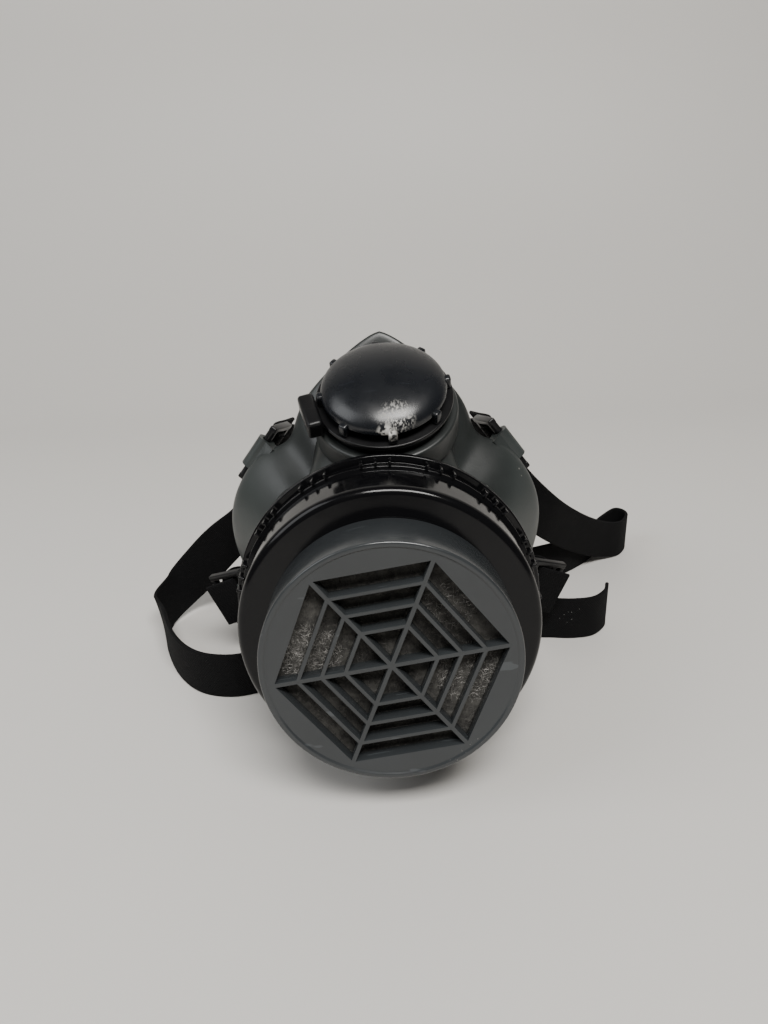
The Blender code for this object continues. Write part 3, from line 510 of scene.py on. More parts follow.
# ---- finishes
class Finish:
    """A material built round one Principled shader."""

    def __init__(self, name, color, roughness, metallic=0.0, **sockets):
        self.material = bpy.data.materials.new(name)
        self.material.use_nodes = True
        self.tree = Tree(self.material.node_tree)
        self.shader = self.material.node_tree.nodes["Principled BSDF"]
        self.shader.inputs["Base Color"].default_value = (*color, 1.0)
        self.shader.inputs["Roughness"].default_value = roughness
        self.shader.inputs["Metallic"].default_value = metallic
        for label, value in sockets.items():
            self.shader.inputs[label.replace("_", " ").title().replace("Ior", "IOR")].default_value = value
        self.math = self.tree.math
        self.coords = self.tree.node("ShaderNodeTexCoord")
        self.place = self.coords.outputs["Object"]

    def set(self, socket, value):
        self.tree.tree.links.new(value, self.shader.inputs[socket])

    def noise(self, scale, detail=3.0, stretch=None, rough=0.5):
        vector = self.place
        if stretch is not None:
            vector = self.tree.out("ShaderNodeMapping", {"Vector": vector, "Scale": stretch})
        return self.tree.out("ShaderNodeTexNoise", {"Vector": vector, "Scale": scale, "Detail": detail,
                                                    "Roughness": rough})

    def span(self, value, low, high, out_low=0.0, out_high=1.0):
        """Map a value from one range to another, clamped."""
        return self.tree.out("ShaderNodeMapRange", {0: value, 1: low, 2: high, 3: out_low, 4: out_high})

    def cells(self, scale, randomness=1.0):
        """Distance from the middle of the nearest cell."""
        return self.tree.node("ShaderNodeTexVoronoi", {"Vector": self.place, "Scale": scale,
                                                       "Randomness": randomness}).outputs["Distance"]

    def specks(self, scale, size, gate_scale, gate_low):
        """Sparse small dots: cells cut to their middles, where a coarse noise is high."""
        dots = self.span(self.cells(scale), size, size * 0.6)
        gate = self.span(self.noise(gate_scale, 1.0), gate_low, gate_low + 0.03)
        return self.math("MULTIPLY", dots, gate)

    def near(self, point, radius, soft=0.5):
        """1 at a point and 0 past a radius from it."""
        far = self.tree.node("ShaderNodeVectorMath", {0: self.place, 1: tuple(point)}, operation="DISTANCE")
        return self.span(far.outputs[1], radius * soft, radius, 1.0, 0.0)

    def mix(self, factor, a, b):
        """Blend of two colours."""
        made = self.tree.node("ShaderNodeMix", {0: factor}, data_type="RGBA")
        for index, value in ((6, a), (7, b)):
            if hasattr(value, "is_output"):
                self.tree.tree.links.new(value, made.inputs[index])
            else:
                made.inputs[index].default_value = (*value, 1.0)
        return made.outputs[2]

    def bump(self, height, distance, strength=1.0, before=None):
        values = {"Height": height, "Distance": distance, "Strength": strength}
        if before is not None:
            values["Normal"] = before
        return self.tree.out("ShaderNodeBump", values)


def shade(color, factor):
    """A colour made lighter or darker."""
    return tuple(min(1.0, c * factor) for c in color)


def moulded(name, color, roughness, grain=0.5, dust=0.10, **sockets):
    """Moulded plastic: cloudy gloss, fine grain, hair scratches and a little dust."""
    finish = Finish(name, color, roughness, **sockets)
    cloud = finish.noise(55.0, 4.0)
    body = finish.mix(cloud, shade(color, 0.82), shade(color, 1.2))
    dots = finish.specks(900.0, 0.13, 30.0, 0.70)
    scratch = finish.span(finish.noise(60.0, 2.0, (1.0, 14.0, 3.0)), 0.690, 0.715)
    marked = finish.mix(finish.math("MULTIPLY", scratch, 0.25), body, shade(color, 4.0))
    finish.set("Base Color", finish.mix(finish.math("MULTIPLY", dots, dust), marked, (0.55, 0.53, 0.50)))
    smear = finish.span(finish.noise(120.0, 5.0), 0.3, 0.7, roughness * 0.85, roughness * 1.25)
    finish.set("Roughness", finish.math("MULTIPLY_ADD", dots, 0.3, smear))
    fine = finish.bump(finish.noise(2600.0, 2.0), 0.00004, grain)
    finish.set("Normal", finish.bump(finish.noise(140.0, 2.0), 0.0003, 0.12, fine))
    return finish


def dome_gloss():
    """Glossy valve cap with a scuffed patch and a worn leg."""
    color = (0.005, 0.006, 0.008)
    finish = moulded("valve_cap_gloss", color, 0.27, grain=0.25, dust=0.0)
    patch, worn_leg = VALVE @ Vector(SCUFF), VALVE @ Vector(WORN_LEG)
    ticks = finish.span(finish.noise(900.0, 3.0, (1.6, 0.55, 1.0), 0.7), 0.50, 0.58)
    scuff = finish.math("MULTIPLY", ticks, finish.near(patch, 0.0070, 0.20))
    chip = finish.math("MULTIPLY", finish.near(worn_leg, 0.0042, 0.55),
                       finish.span(finish.noise(500.0, 3.0), 0.42, 0.52))
    marks = finish.math("MAXIMUM", scuff, chip)
    under = finish.shader.inputs["Base Color"].links[0].from_socket
    finish.set("Base Color", finish.mix(marks, under, (0.46, 0.45, 0.42)))
    gloss = finish.shader.inputs["Roughness"].links[0].from_socket
    finish.set("Roughness", finish.math("MULTIPLY_ADD", marks, 0.4, gloss))
    return finish


def rubber(name, color, roughness, linty, painted_shade_spot, **sockets):
    """Moulded rubber: soft sheen, cloudy bloom, painted shade round one spot with the rest painted lighter,
    fine pores and lint round one spot.
    """
    finish = Finish(name, color, roughness, **sockets)
    bloom = finish.span(finish.noise(38.0, 5.0, None, 0.6), 0.35, 0.7)
    body = finish.mix(bloom, shade(color, 0.80), shade(color, 1.28))
    # Painted shade: near the shade spot the rubber keeps its darker tone; away from it the colour is painted
    # 2.1 times lighter.
    body = finish.mix(finish.near(painted_shade_spot, 0.064, 0.80), shade(color, 2.1), body)
    dots = finish.math("MULTIPLY", finish.specks(500.0, 0.20, 45.0, 0.47), finish.near(linty, 0.016))
    finish.set("Base Color", finish.mix(finish.math("MULTIPLY", dots, 0.6), body, (0.55, 0.54, 0.50)))
    finish.set("Roughness", finish.span(finish.noise(70.0, 4.0), 0.3, 0.7, roughness * 0.85, roughness * 1.2))
    pores = finish.bump(finish.noise(1500.0, 3.0), 0.00005, 0.6)
    finish.set("Normal", finish.bump(finish.noise(90.0, 2.0), 0.0005, 0.10, pores))
    return finish


def fibre_mat(name, dark, light, scale):
    """Matted fibre: dark and light strands that cross."""
    finish = Finish(name, dark, 0.9)
    one = finish.noise(scale, 4.0, (1.0, 0.25, 1.0), 0.7)
    other = finish.noise(scale, 4.0, (0.25, 1.0, 0.25), 0.7)
    strands = finish.math("MAXIMUM", one, other)
    finish.set("Base Color", finish.mix(finish.span(strands, 0.48, 0.72), dark, light))
    finish.set("Normal", finish.bump(strands, 0.0006, 1.0))
    return finish


def granules():
    """Black charcoal granules."""
    finish = Finish("charcoal", (0.02, 0.02, 0.02), 0.75)
    grains = finish.cells(900.0)
    finish.set("Base Color", finish.mix(grains, (0.03, 0.03, 0.03), (0.008, 0.008, 0.008)))
    finish.set("Normal", finish.bump(grains, 0.0006, 1.0))
    return finish


def perforated_steel():
    """Steel sheet with rows of small holes."""
    finish = Finish("screen_steel", (0.45, 0.45, 0.46), 0.35, 1.0)
    holes = finish.span(finish.cells(550.0, randomness=0.0), 0.28, 0.34)
    finish.set("Base Color", finish.mix(holes, (0.01, 0.01, 0.01), (0.45, 0.45, 0.46)))
    finish.set("Normal", finish.bump(holes, 0.0004, 0.8))
    return finish


def elastic_webbing():
    """Woven elastic: cords along the strap, weft ribs across it and a bit of lint."""
    color = (0.0022, 0.0022, 0.0025)
    finish = Finish("elastic_webbing", color, 0.88)
    finish.shader.inputs["Specular IOR Level"].default_value = 0.16
    uv = finish.tree.node("ShaderNodeSeparateXYZ", {0: finish.coords.outputs["UV"]}).outputs
    cords = finish.math("SINE", finish.math("MULTIPLY", uv["X"], math.tau / CORD_PITCH))
    shift = finish.math("MULTIPLY", finish.math("SIGN", cords), math.pi / 2)
    weft = finish.math("SINE", finish.math("MULTIPLY_ADD", uv["Y"], math.tau / WEFT_PITCH, shift))
    weave = finish.math("MULTIPLY_ADD", weft, 0.45, finish.math("ABSOLUTE", cords))
    lint = finish.specks(700.0, 0.13, 24.0, 0.74)
    fuzz = finish.noise(700.0, 3.0)
    body = finish.mix(finish.span(weave, -0.4, 1.4), shade(color, 0.55), shade(color, 1.9))
    body = finish.mix(finish.math("MULTIPLY", fuzz, 0.25), body, shade(color, 2.5))
    finish.set("Base Color", finish.mix(finish.math("MULTIPLY", lint, 0.5), body, (0.5, 0.5, 0.48)))
    finish.set("Normal", finish.bump(weave, 0.00028, 0.9, finish.bump(fuzz, 0.0002, 0.4)))
    return finish


CAP_GREY = moulded("cap_grey_plastic", (0.026, 0.029, 0.031), 0.21, grain=0.10, dust=0.45).material
DRUM_BLACK = moulded("drum_gloss_plastic", (0.003, 0.003, 0.0035), 0.13, grain=0.12, dust=0.40,
                     specular_ior_level=0.24).material
PLASTIC_BLACK = moulded("black_plastic", (0.004, 0.004, 0.0045), 0.32, grain=0.4, dust=0.20,
                        specular_ior_level=0.32).material
DOME_BLACK = dome_gloss().material
# Spot of painted shade on the mask, at the brow under the valve; the rubber is painted lighter away from it.
BROW_SHADE_SPOT = FILTER_ORIGIN + Vector((0.0, 0.0600, 0.0560))
RIGHT_CHEEK = FILTER_ORIGIN + Vector((0.0480, 0.0740, 0.0300))
MASK_RUBBER = rubber("mask_rubber", (0.014, 0.0165, 0.016), 0.38, RIGHT_CHEEK, BROW_SHADE_SPOT).material
# The flap and gasket rubbers also get painted shade round the valve's centre and are painted lighter away from
# it.
FLAP_RUBBER = rubber("flap_silicone", (0.50, 0.47, 0.42), 0.50, VALVE_ORIGIN, VALVE_ORIGIN).material
GASKET_RUBBER = rubber("gasket_rubber", (0.03, 0.03, 0.03), 0.60, FILTER_ORIGIN, VALVE_ORIGIN).material
PAD_MAT = fibre_mat("pad_mat", (0.026, 0.025, 0.023), (0.095, 0.092, 0.083), 520.0).material
PAD_FIBRE = fibre_mat("pad_fibre", (0.060, 0.057, 0.052), (0.170, 0.165, 0.155), 900.0).material
# Light fibres for a few patches of the pad: painted light and glints where the pad shows lit through the
# window.
PAINTED_LIGHT_FIBRE = fibre_mat("painted_light_fibre", (0.16, 0.155, 0.145), (0.62, 0.60, 0.57), 900.0).material
PAPER = fibre_mat("filter_paper", (0.60, 0.58, 0.52), (0.80, 0.78, 0.73), 300.0).material
CHARCOAL = granules().material
SCREEN_STEEL = perforated_steel().material
WEBBING = elastic_webbing().material

RING_BLACK = ring_tree(PLASTIC_BLACK)


def round_axis(obj, count, start=0.0, place=Matrix()):
    """A piece repeated evenly round Z, from a start angle."""
    return run_tree(obj, RING_BLACK, {"Count": count, "Step": math.tau / count, "Start": start}, place)


# ---- cap, pad and cartridge
def hexagon_point(radius, corner):
    """Corner of a hexagon of the window, in the filter's own plane."""
    angle = math.radians(WINDOW_TURN + 60.0 * corner)
    return Vector((radius * math.cos(angle), radius * math.sin(angle)))


def window_cutter():
    """Openings between the bars of one sector, repeated round the window."""
    bm = bmesh.new()
    along = (hexagon_point(1.0, 1) - hexagon_point(1.0, 0)).normalized()
    shift = along * (WEB_BAR / 2 / math.cos(math.radians(30.0)))
    for band in range(WEB_BARS + 1):
        outer = WINDOW_R - band * WEB_STEP - (WEB_BAR / 2 if band else 0.0)
        inner = WINDOW_R - (band + 1) * WEB_STEP + WEB_BAR / 2
        outline = [hexagon_point(outer, 0) + shift, hexagon_point(outer, 1) - shift]
        if band < WEB_BARS:
            outline += [hexagon_point(inner, 1) - shift, hexagon_point(inner, 0) + shift]
        else:
            outline.append((hexagon_point(WEB_BAR, 0) + hexagon_point(WEB_BAR, 1)) / math.sqrt(3.0))
        prism(bm, outline, -2 * WEB_DEPTH, WEB_DEPTH)
    sector = link("window_cutter", to_mesh(bm, "window_cutter"))
    return round_axis(sector, 6)


def prefilter_cap():
    """Cap with its raised bead and web window."""
    inner = CAP_R - CAP_WALL
    cap = turned("prefilter_cap_fine",
                 [(0.0, CAP_FACE, 0.0), (CAP_BEAD_R - CAP_BEAD_FOOT, CAP_FACE, 0.0003),
                  (CAP_BEAD_R, 0.0, 0.0004), (CAP_R, 0.0, CAP_EDGE),
                  (CAP_R, CAP_DEPTH, 0.0003), (inner, CAP_DEPTH, 0.0003),
                  (inner, WEB_DEPTH, 0.0), (0.0, WEB_DEPTH, 0.0)], Matrix())
    cap = combined(cap, window_cutter(), "DIFFERENCE")
    cap = eased(cap, WEB_EASE)
    cap.data.transform(FILTER)
    piece(cap, "prefilter", "cap_grey", CAP_GREY, "prefilter_cap")


def prefilter_pad():
    """Fibre pad with an uneven face and loose fibres on it; the light fibres in three patches are painted light
    and glints.
    """
    radius = NECK_R - 2 * CLEAR
    pad = turned("prefilter_pad_fine",
                 [(radius * i / PAD_RINGS, PAD_FRONT, 0.0) for i in range(PAD_RINGS)]
                 + [(radius, PAD_FRONT, 0.0006), (radius, PAD_FRONT + PAD_THICK, 0.0),
                    (0.0, PAD_FRONT + PAD_THICK, 0.0)], FILTER)
    piece(pad, "prefilter", "pad", PAD_MAT, "prefilter_pad")
    loose = fibre_tree(PAD_FIBRE)
    for name, across, up, reach, count, finish in (
            ("pad_fibres", 0.0, 0.0, radius * 0.96, 2600, PAD_FIBRE),
            # Painted light: patches of light fibres at the left, right and upper right, where the pad shows
            # lit.
            ("pad_fibres_left", -0.0245, 0.0020, 0.0095, 420, PAINTED_LIGHT_FIBRE),
            ("pad_fibres_right", 0.0240, -0.0060, 0.0100, 380, PAINTED_LIGHT_FIBRE),
            ("pad_fibres_top_right", 0.0180, 0.0170, 0.0080, 130, PAINTED_LIGHT_FIBRE)):
        disc = [(0.0, PAD_FRONT, 0.0), (reach, PAD_FRONT, 0.0)]
        disc += [(r, depth + FIBRE_BED, 0.0) for r, depth, _ in disc[::-1]]
        fibres = run_tree(turned(name, disc, Matrix()), loose,
                          {"Count": count, "Area": math.pi * reach ** 2, "Length": FIBRE_LENGTH,
                           "Thickness": FIBRE_R, "Seed": FIBRE_SEED},
                          FILTER @ at(across, up))
        piece(fibres, "prefilter", "pad", finish)


def cartridge_shell():
    """Gloss drum with neck, ribbed collar, groove and flange."""
    shell = turned("cartridge_shell_fine",
                   [(NECK_BORE_R, NECK_FRONT, 0.0004), (NECK_R, NECK_FRONT, 0.0005),
                    (NECK_R, DRUM_FRONT, 0.0003), (DRUM_R, DRUM_FRONT, DRUM_EDGE),
                    (DRUM_R, COLLAR_FRONT, 0.0002), (COLLAR_R, COLLAR_FRONT + COLLAR_RAMP, 0.0004),
                    (COLLAR_R, COLLAR_BACK, 0.0003), (GROOVE_R, COLLAR_BACK, 0.0002),
                    (GROOVE_R, FLANGE_FRONT, 0.0003), (FLANGE_R, FLANGE_FRONT, 0.0006),
                    (FLANGE_R, FLANGE_BACK, 0.0006), (DRUM_BORE_R, FLANGE_BACK, 0.0002),
                    (DRUM_BORE_R, DRUM_FRONT + CAP_WALL, 0.0), (NECK_BORE_R, DRUM_FRONT + CAP_WALL, 0.0)],
                   FILTER)
    length, width, height = RIB_SIZE
    group = []
    for k in (-1, 0, 1):
        turn = spun("Z", k * RIB_PITCH)
        out, depth = COLLAR_R + height / 2 - RIB_SINK, COLLAR_BACK - length / 2 + RIB_SINK
        group.append(rounded_box("rib", (height, width, length), RIB_EASE, turn @ at(out, z=-depth)))
    ribs = round_axis(joined("collar_ribs", *group), RIB_GROUPS, math.radians(RIB_GROUP_START), FILTER)
    shell = joined("cartridge_shell_fine", shell, ribs)
    piece(shell, "cartridge", "black_gloss", DRUM_BLACK, "cartridge_shell")


def cartridge_base():
    """Base plate with its threaded connector."""
    base = turned("cartridge_base_fine",
                  [(THREAD_BORE_R, BASE_FRONT, 0.0003), (DRUM_BORE_R - CLEAR, BASE_FRONT, 0.0),
                   (DRUM_BORE_R - CLEAR, BASE_BACK, 0.0003), (THREAD_ROOT_R, BASE_BACK, 0.0008),
                   (THREAD_ROOT_R, NECK_END, 0.0006), (THREAD_BORE_R, NECK_END, 0.0004)], FILTER, SMALL_ROUND)
    seed = link("thread", bpy.data.meshes.new("thread"))
    ridge = THREAD_R - THREAD_ROOT_R
    place = FILTER @ at(z=-NECK_END + THREAD_START)
    thread = run_tree(seed, thread_tree(PLASTIC_BLACK),
                      {"Turns": float(THREAD_TURNS), "Radius": THREAD_ROOT_R + ridge * 0.1,
                       "Pitch": THREAD_PITCH, "Ridge": ridge * 0.9}, place)
    piece(joined("cartridge_base_fine", base, thread), "cartridge", "black_plastic", PLASTIC_BLACK,
          "cartridge_base")


def filter_socket():
    """Threaded socket through the mask, and the notched nut that clamps it."""
    socket = turned("filter_socket_fine",
                    [(SOCKET_BORE_R, SOCKET_FRONT, 0.0006), (SOCKET_PLATE_R, SOCKET_FRONT, 0.0006),
                     (SOCKET_PLATE_R, SOCKET_PLATE_BACK, 0.0004), (SOCKET_HUB_R, SOCKET_PLATE_BACK, 0.0003),
                     (SOCKET_HUB_R, SOCKET_BACK, 0.0006), (THREAD_BORE_R, SOCKET_BACK, 0.0003),
                     (THREAD_BORE_R, SHELF_FRONT, 0.0), (SOCKET_BORE_R, SHELF_FRONT, 0.0)], FILTER)
    piece(socket, "mask", "black_plastic", PLASTIC_BLACK, "filter_socket")
    bore = SOCKET_HUB_R + CLEAR
    nut = turned("socket_nut_fine",
                 [(bore, NUT_FRONT, 0.0), (NUT_R, NUT_FRONT, 0.0004), (NUT_R, NUT_BACK, 0.0004),
                  (bore, NUT_BACK, 0.0003)], Matrix(), SMALL_ROUND)
    notch = rounded_box("notch", NOTCH_SIZE, 0.0006, at(NUT_R + NOTCH_STAND, z=-NUT_BACK))
    nut = eased(combined(nut, round_axis(notch, NUT_NOTCHES, NOTCH_START), "DIFFERENCE"), 0.0002)
    nut.data.transform(FILTER)
    piece(nut, "mask", "black_plastic", PLASTIC_BLACK, "socket_nut")


# ---- exhalation valve
def exhale_cap():
    """Low dome with eight legs that end in eased blocks."""
    inner_r = DOME_R - DOME_WALL
    outer, inside = ([(radius * math.sin(a), -rise * math.cos(a), 0.0)
                      for a in (math.radians(90.0) * i / steps for i in range(steps))]
                     for radius, rise, steps in ((DOME_R, DOME_RISE, DOME_STEPS[0]),
                                                 (inner_r, DOME_RISE - DOME_WALL, DOME_STEPS[1])))
    edge = [(DOME_R, 0.0, 0.0003), (DOME_R, DOME_SKIRT, 0.0002), (inner_r, DOME_SKIRT, 0.0002)]
    dome = turned("exhale_cap_fine", [*outer, *edge, *inside[::-1]], VALVE)
    depth = LEG_TIP_R - LEG_ROOT_R
    leg = rounded_box("cap_leg", (depth, LEG_WIDTH, LEG_HEIGHT), LEG_EASE,
                      at(LEG_ROOT_R + depth / 2, z=LEG_TOP - LEG_HEIGHT / 2))
    legs = round_axis(leg, LEG_COUNT, math.radians(LEG_TURN), VALVE)
    piece(joined("exhale_cap_fine", dome, legs), "exhale_cap", "black_gloss", DOME_BLACK, "exhale_cap")


def exhale_housing():
    """Tower, collar plate, spigot and thumb tab."""
    shelf = COLLAR_TOP + SEAT_SHELF
    collar_back = COLLAR_TOP + VALVE_COLLAR_THICK
    housing = turned("exhale_housing_fine",
                     [(SPIGOT_BORE_R, SPIGOT_TOP, 0.0003), (SPIGOT_R, SPIGOT_TOP, 0.0003),
                      (SPIGOT_R, COLLAR_TOP, 0.0003), (VALVE_COLLAR_R, COLLAR_TOP, 0.0005),
                      (VALVE_COLLAR_R, collar_back, 0.0005), (TOWER_R, collar_back, 0.0006),
                      (TOWER_R, TOWER_END, 0.0004), (TOWER_BORE_R, TOWER_END, 0.0004),
                      (TOWER_BORE_R, shelf, 0.0), (SPIGOT_BORE_R, shelf, 0.0)], VALVE)
    width, length, height = THUMB_TAB_SIZE
    spot = at(VALVE_COLLAR_R - THUMB_TAB_SINK + width / 2, z=-THUMB_TAB_DROP - COLLAR_TOP)
    place = VALVE @ spun("Z", THUMB_TAB_TURN) @ spot
    tab = rounded_box("tab", (width, length, height), THUMB_TAB_EASE, place, 5)
    housing = joined("exhale_housing_fine", housing, tab)
    piece(housing, "mask", "black_plastic", PLASTIC_BLACK, "exhale_housing")


# ---- facepiece
def angle_from(theta, centre):
    """Distance of two angles in degrees, the short way round."""
    return abs((theta - centre + 180.0) % 360.0 - 180.0)


def swell(theta, centre, spread, power=2):
    """1 at an angle, falling to 0 on both sides of it."""
    return math.exp(-(angle_from(theta, centre) / spread) ** power)


def rim_point(theta, inset=0.0, setback=0.0):
    """Point of the facepiece rim at an angle round the filter, flattened where it stands on the floor."""
    nose = swell(theta, NOSE_ANGLE, *NOSE_SPREAD)
    chin = swell(theta, CHIN_ANGLE, CHIN_SPREAD)
    cheek = sum(swell(theta, side, CHEEK_SPREAD) for side in (CHEEK_ANGLE, 180.0 - CHEEK_ANGLE))
    waist = sum(swell(theta, side, WAIST_SPREAD) for side in (WAIST_ANGLE, 180.0 - WAIST_ANGLE))
    radius = MASK_RIM_R + NOSE_RISE * nose + CHEEK_RISE * cheek - WAIST * waist - inset
    depth = RIM_DEPTH + NOSE_SETBACK * nose - CHIN_FORWARD * chin + setback
    t = math.radians(theta)
    return Vector((radius * math.cos(t), depth, max(radius * math.sin(t), -FLOOR_DROP)))


def filter_ring_point(theta, radius, depth):
    """Point on a ring about the tilted filter axis, from the filter's front centre."""
    t = math.radians(theta)
    return FILTER.to_3x3() @ Vector((radius * math.cos(t), radius * math.sin(t), -depth))


def mask_section(theta):
    """Key points of the facepiece wall at one angle, from the socket to the seal's edge."""
    nose = swell(theta, NOSE_ANGLE, NOSE_RIDGE)
    crease = rim_point(theta, *(side + nose * more for side, more in zip(CREASE, CREASE_AT_NOSE)))
    shoulder = filter_ring_point(theta, MASK_FRONT_R + SHOULDER, MASK_FRONT + SHOULDER)
    middle = shoulder.lerp(crease, 0.5)
    outward = Vector((math.cos(math.radians(theta)), 0.0, math.sin(math.radians(theta))))
    return [filter_ring_point(theta, SOCKET_HUB_R + CLEAR, MASK_FRONT),
            filter_ring_point(theta, MASK_FRONT_R, MASK_FRONT), shoulder,
            middle + outward * FLANK_BULGE * (1.0 - nose), crease, rim_point(theta),
            rim_point(theta, *SEAL_LIP), rim_point(theta, SEAL_WIDTH, SEAL_CURL)]


def mask_shell():
    """Lofted rubber wall with its turned-in seal."""
    bm = bmesh.new()
    columns = []
    for k in range(MASK_COLUMNS):
        keys = mask_section(NOSE_ANGLE + 360.0 * k / MASK_COLUMNS)
        front = [keys[0].lerp(keys[1], i / 3) for i in range(3)]
        path = front + smooth_path(keys[1:5], MASK_ROWS) + smooth_path(keys[4:], MASK_ROWS)[1:]
        columns.append([bm.verts.new(p) for p in path])
    for left, right in zip(columns, columns[1:] + columns[:1]):
        for i in range(len(left) - 1):
            bm.faces.new((left[i], left[i + 1], right[i + 1], right[i]))
    shell = link("facepiece_fine", to_mesh(bm, "facepiece_fine", turn_out=False))
    wall = shell.modifiers.new("wall", "SOLIDIFY")
    wall.thickness = MASK_WALL
    wall.offset = -1.0
    return settled(shell, REST)


def lug_frames():
    """Hinge line of each buckle, X along it and Y the way the strap leaves, from the joints."""
    frames = {}
    for level in ("upper", "lower"):
        for side in ("left", "right"):
            joint = JOINTS[f"buckle_{level}_{side}_swing"]
            along = Vector(joint["axis"])
            radial = Vector((-along.z, 0.0, along.x))
            lean = math.radians(LUG_LEAN[level])
            leave = Vector((0.0, math.cos(lean), 0.0)) + radial * math.sin(lean)
            theta = math.degrees(math.atan2(radial.z, radial.x))
            place = from_columns(along, leave, along.cross(leave), Vector(joint["pos_m"]))
            frames[side, level] = (place, theta)
    return frames


LUGS = lug_frames()


def lug(place, theta):
    """Moulded lug: a round eye on the hinge line with a thick web that runs into the rim."""
    root = place.inverted() @ (FILTER_ORIGIN + rim_point(theta, *LUG_ROOT))
    reach = math.hypot(root.y, root.z)
    half = LUG_R * LUG_WEB
    first = math.asin(LUG_WEB)
    outline = [(reach, half)]
    for i in range(LUG_STEPS + 1):
        angle = first + (math.tau - 2 * first) * i / LUG_STEPS
        outline.append((LUG_R * math.cos(angle), LUG_R * math.sin(angle)))
    outline.append((reach, -half))
    bm = bmesh.new()
    prism(bm, outline, -LUG_WIDTH / 2, LUG_WIDTH / 2)
    tilt = Matrix.Rotation(math.atan2(root.z, root.y), 4, "X")
    lie = Matrix(((0, 0, 1, 0), (1, 0, 0, 0), (0, 1, 0, 0), (0, 0, 0, 1)))
    bm.transform(place @ tilt @ lie)
    return link("lug", to_mesh(bm, "lug"))


def facepiece():
    """Rubber facepiece with its lugs and the bore for the valve tower."""
    mask = mask_shell()
    for place, theta in LUGS.values():
        mask = combined(mask, lug(place, theta), "UNION")
        hole = rod("hole", BUCKLE_BAR_R + CLEAR, 2 * LUG_WIDTH, place @ spun("Y", 90.0))
        mask = combined(mask, hole, "DIFFERENCE")
    sleeve_bore = SLEEVE_R - SLEEVE_WALL
    sleeve = turned("sleeve", [(sleeve_bore, SLEEVE_TOP, 0.0), (SLEEVE_R, SLEEVE_TOP, SLEEVE_EASE),
                               (SLEEVE_R, TOWER_END, 0.0), (sleeve_bore, TOWER_END, 0.0)], VALVE)
    mask = combined(mask, sleeve, "UNION")
    bore_end = TOWER_END + MASK_WALL
    bore = turned("bore", [(0.0, 0.0, 0.0), (TOWER_R + CLEAR, 0.0, 0.0), (TOWER_R + CLEAR, bore_end, 0.0),
                           (0.0, bore_end, 0.0)], VALVE)
    mask = combined(mask, bore, "DIFFERENCE")
    piece(mask, "mask", "mask_rubber", MASK_RUBBER, "facepiece", crease=35.0)


# ---- buckles and webbing
def buckle(side, level):
    """Ladder buckle with a round hinge bar, eased rails and two grip bars."""
    place, _ = LUGS[side, level]
    width = WEBBING_WIDTH + 2 * CLEAR + 2 * BUCKLE_RAIL
    parts = [rod("bar", BUCKLE_BAR_R, width - 2 * CLEAR, spun("Y", 90.0))]
    for sign in (-1, 1):
        rail = at(sign * (width - BUCKLE_RAIL) / 2, (BUCKLE_LENGTH - BUCKLE_BAR_R) / 2)
        parts.append(rounded_box("rail", (BUCKLE_RAIL, BUCKLE_LENGTH + BUCKLE_BAR_R, BUCKLE_THICK),
                                 BUCKLE_RAIL_EASE, rail))
    for k in range(1, BUCKLE_BARS + 1):
        y = BUCKLE_BAR_R + k * BUCKLE_SLOT + (k - 0.5) * BUCKLE_BAR_WIDTH
        parts.append(rounded_box("grip", (width - BUCKLE_RAIL, BUCKLE_BAR_WIDTH, BUCKLE_GRIP_THICK),
                                 BUCKLE_GRIP_EASE, at(y=y)))
    made = parts[0]
    for part in parts[1:]:
        made = combined(made, part, "UNION")
    made.data.transform(place)
    made.name = f"buckle_{level}_{side}_fine"
    piece(made, f"buckle_{level}_{side}", "black_plastic", PLASTIC_BLACK, f"buckle_{level}_{side}")


UP = (0.0, 0.0, 1.0)
DOWN = (0.0, 0.0, -1.0)
EDGE_ON_FLOOR = WEBBING_WIDTH / 2 - FLOOR_DROP


def on_floor(width, *spots):
    """Stops of a strap that stands on its edge."""
    return [((x, y, EDGE_ON_FLOOR), width) for x, y in spots]


# Each stop of a strap: middle of the webbing, from the filter's front centre, and its width direction.
LEFT_ROUTE = [((-0.0450, 0.1320, 0.0250), (0.90, 0.20, 0.10)),
              ((-0.0500, 0.1340, 0.0080), (0.95, 0.00, -0.25)),
              ((-0.0610, 0.1300, -0.0070), (0.75, 0.10, -0.60)),
              ((-0.0740, 0.1290, -0.0170), (0.45, 0.10, -0.87)),
              ((-0.0872, 0.1330, -0.0310), (0.25, 0.00, -0.96)),
              ((-0.0975, 0.1325, -0.0420), (0.25, 0.00, -0.96)),
              *on_floor((0.25, 0.10, -0.96), (-0.1045, 0.1205)),
              *on_floor(DOWN, (-0.1000, 0.1050), (-0.0900, 0.0830), (-0.0780, 0.0695), (-0.0640, 0.0655),
                        (-0.0500, 0.0690))]
RIGHT_ROUTE = [((0.0430, 0.1320, 0.0290), (-0.90, 0.20, 0.10)),
               ((0.0490, 0.1330, 0.0160), (-0.90, 0.00, -0.40)),
               ((0.0600, 0.1280, 0.0030), (-0.60, 0.10, -0.78)),
               ((0.0730, 0.1330, -0.0110), (-0.45, 0.10, -0.88)),
               ((0.0850, 0.1450, -0.0230), (-0.25, 0.10, -0.95)),
               ((0.0980, 0.1580, -0.0340), (-0.20, 0.10, -0.97)),
               ((0.1120, 0.1700, -0.0430), (0.00, 0.10, -1.00)),
               *on_floor(DOWN, (0.1250, 0.1790), (0.1310, 0.1900), (0.1270, 0.1965), (0.1170, 0.1870),
                         (0.1040, 0.1710), (0.0880, 0.1580), (0.0700, 0.1500))]
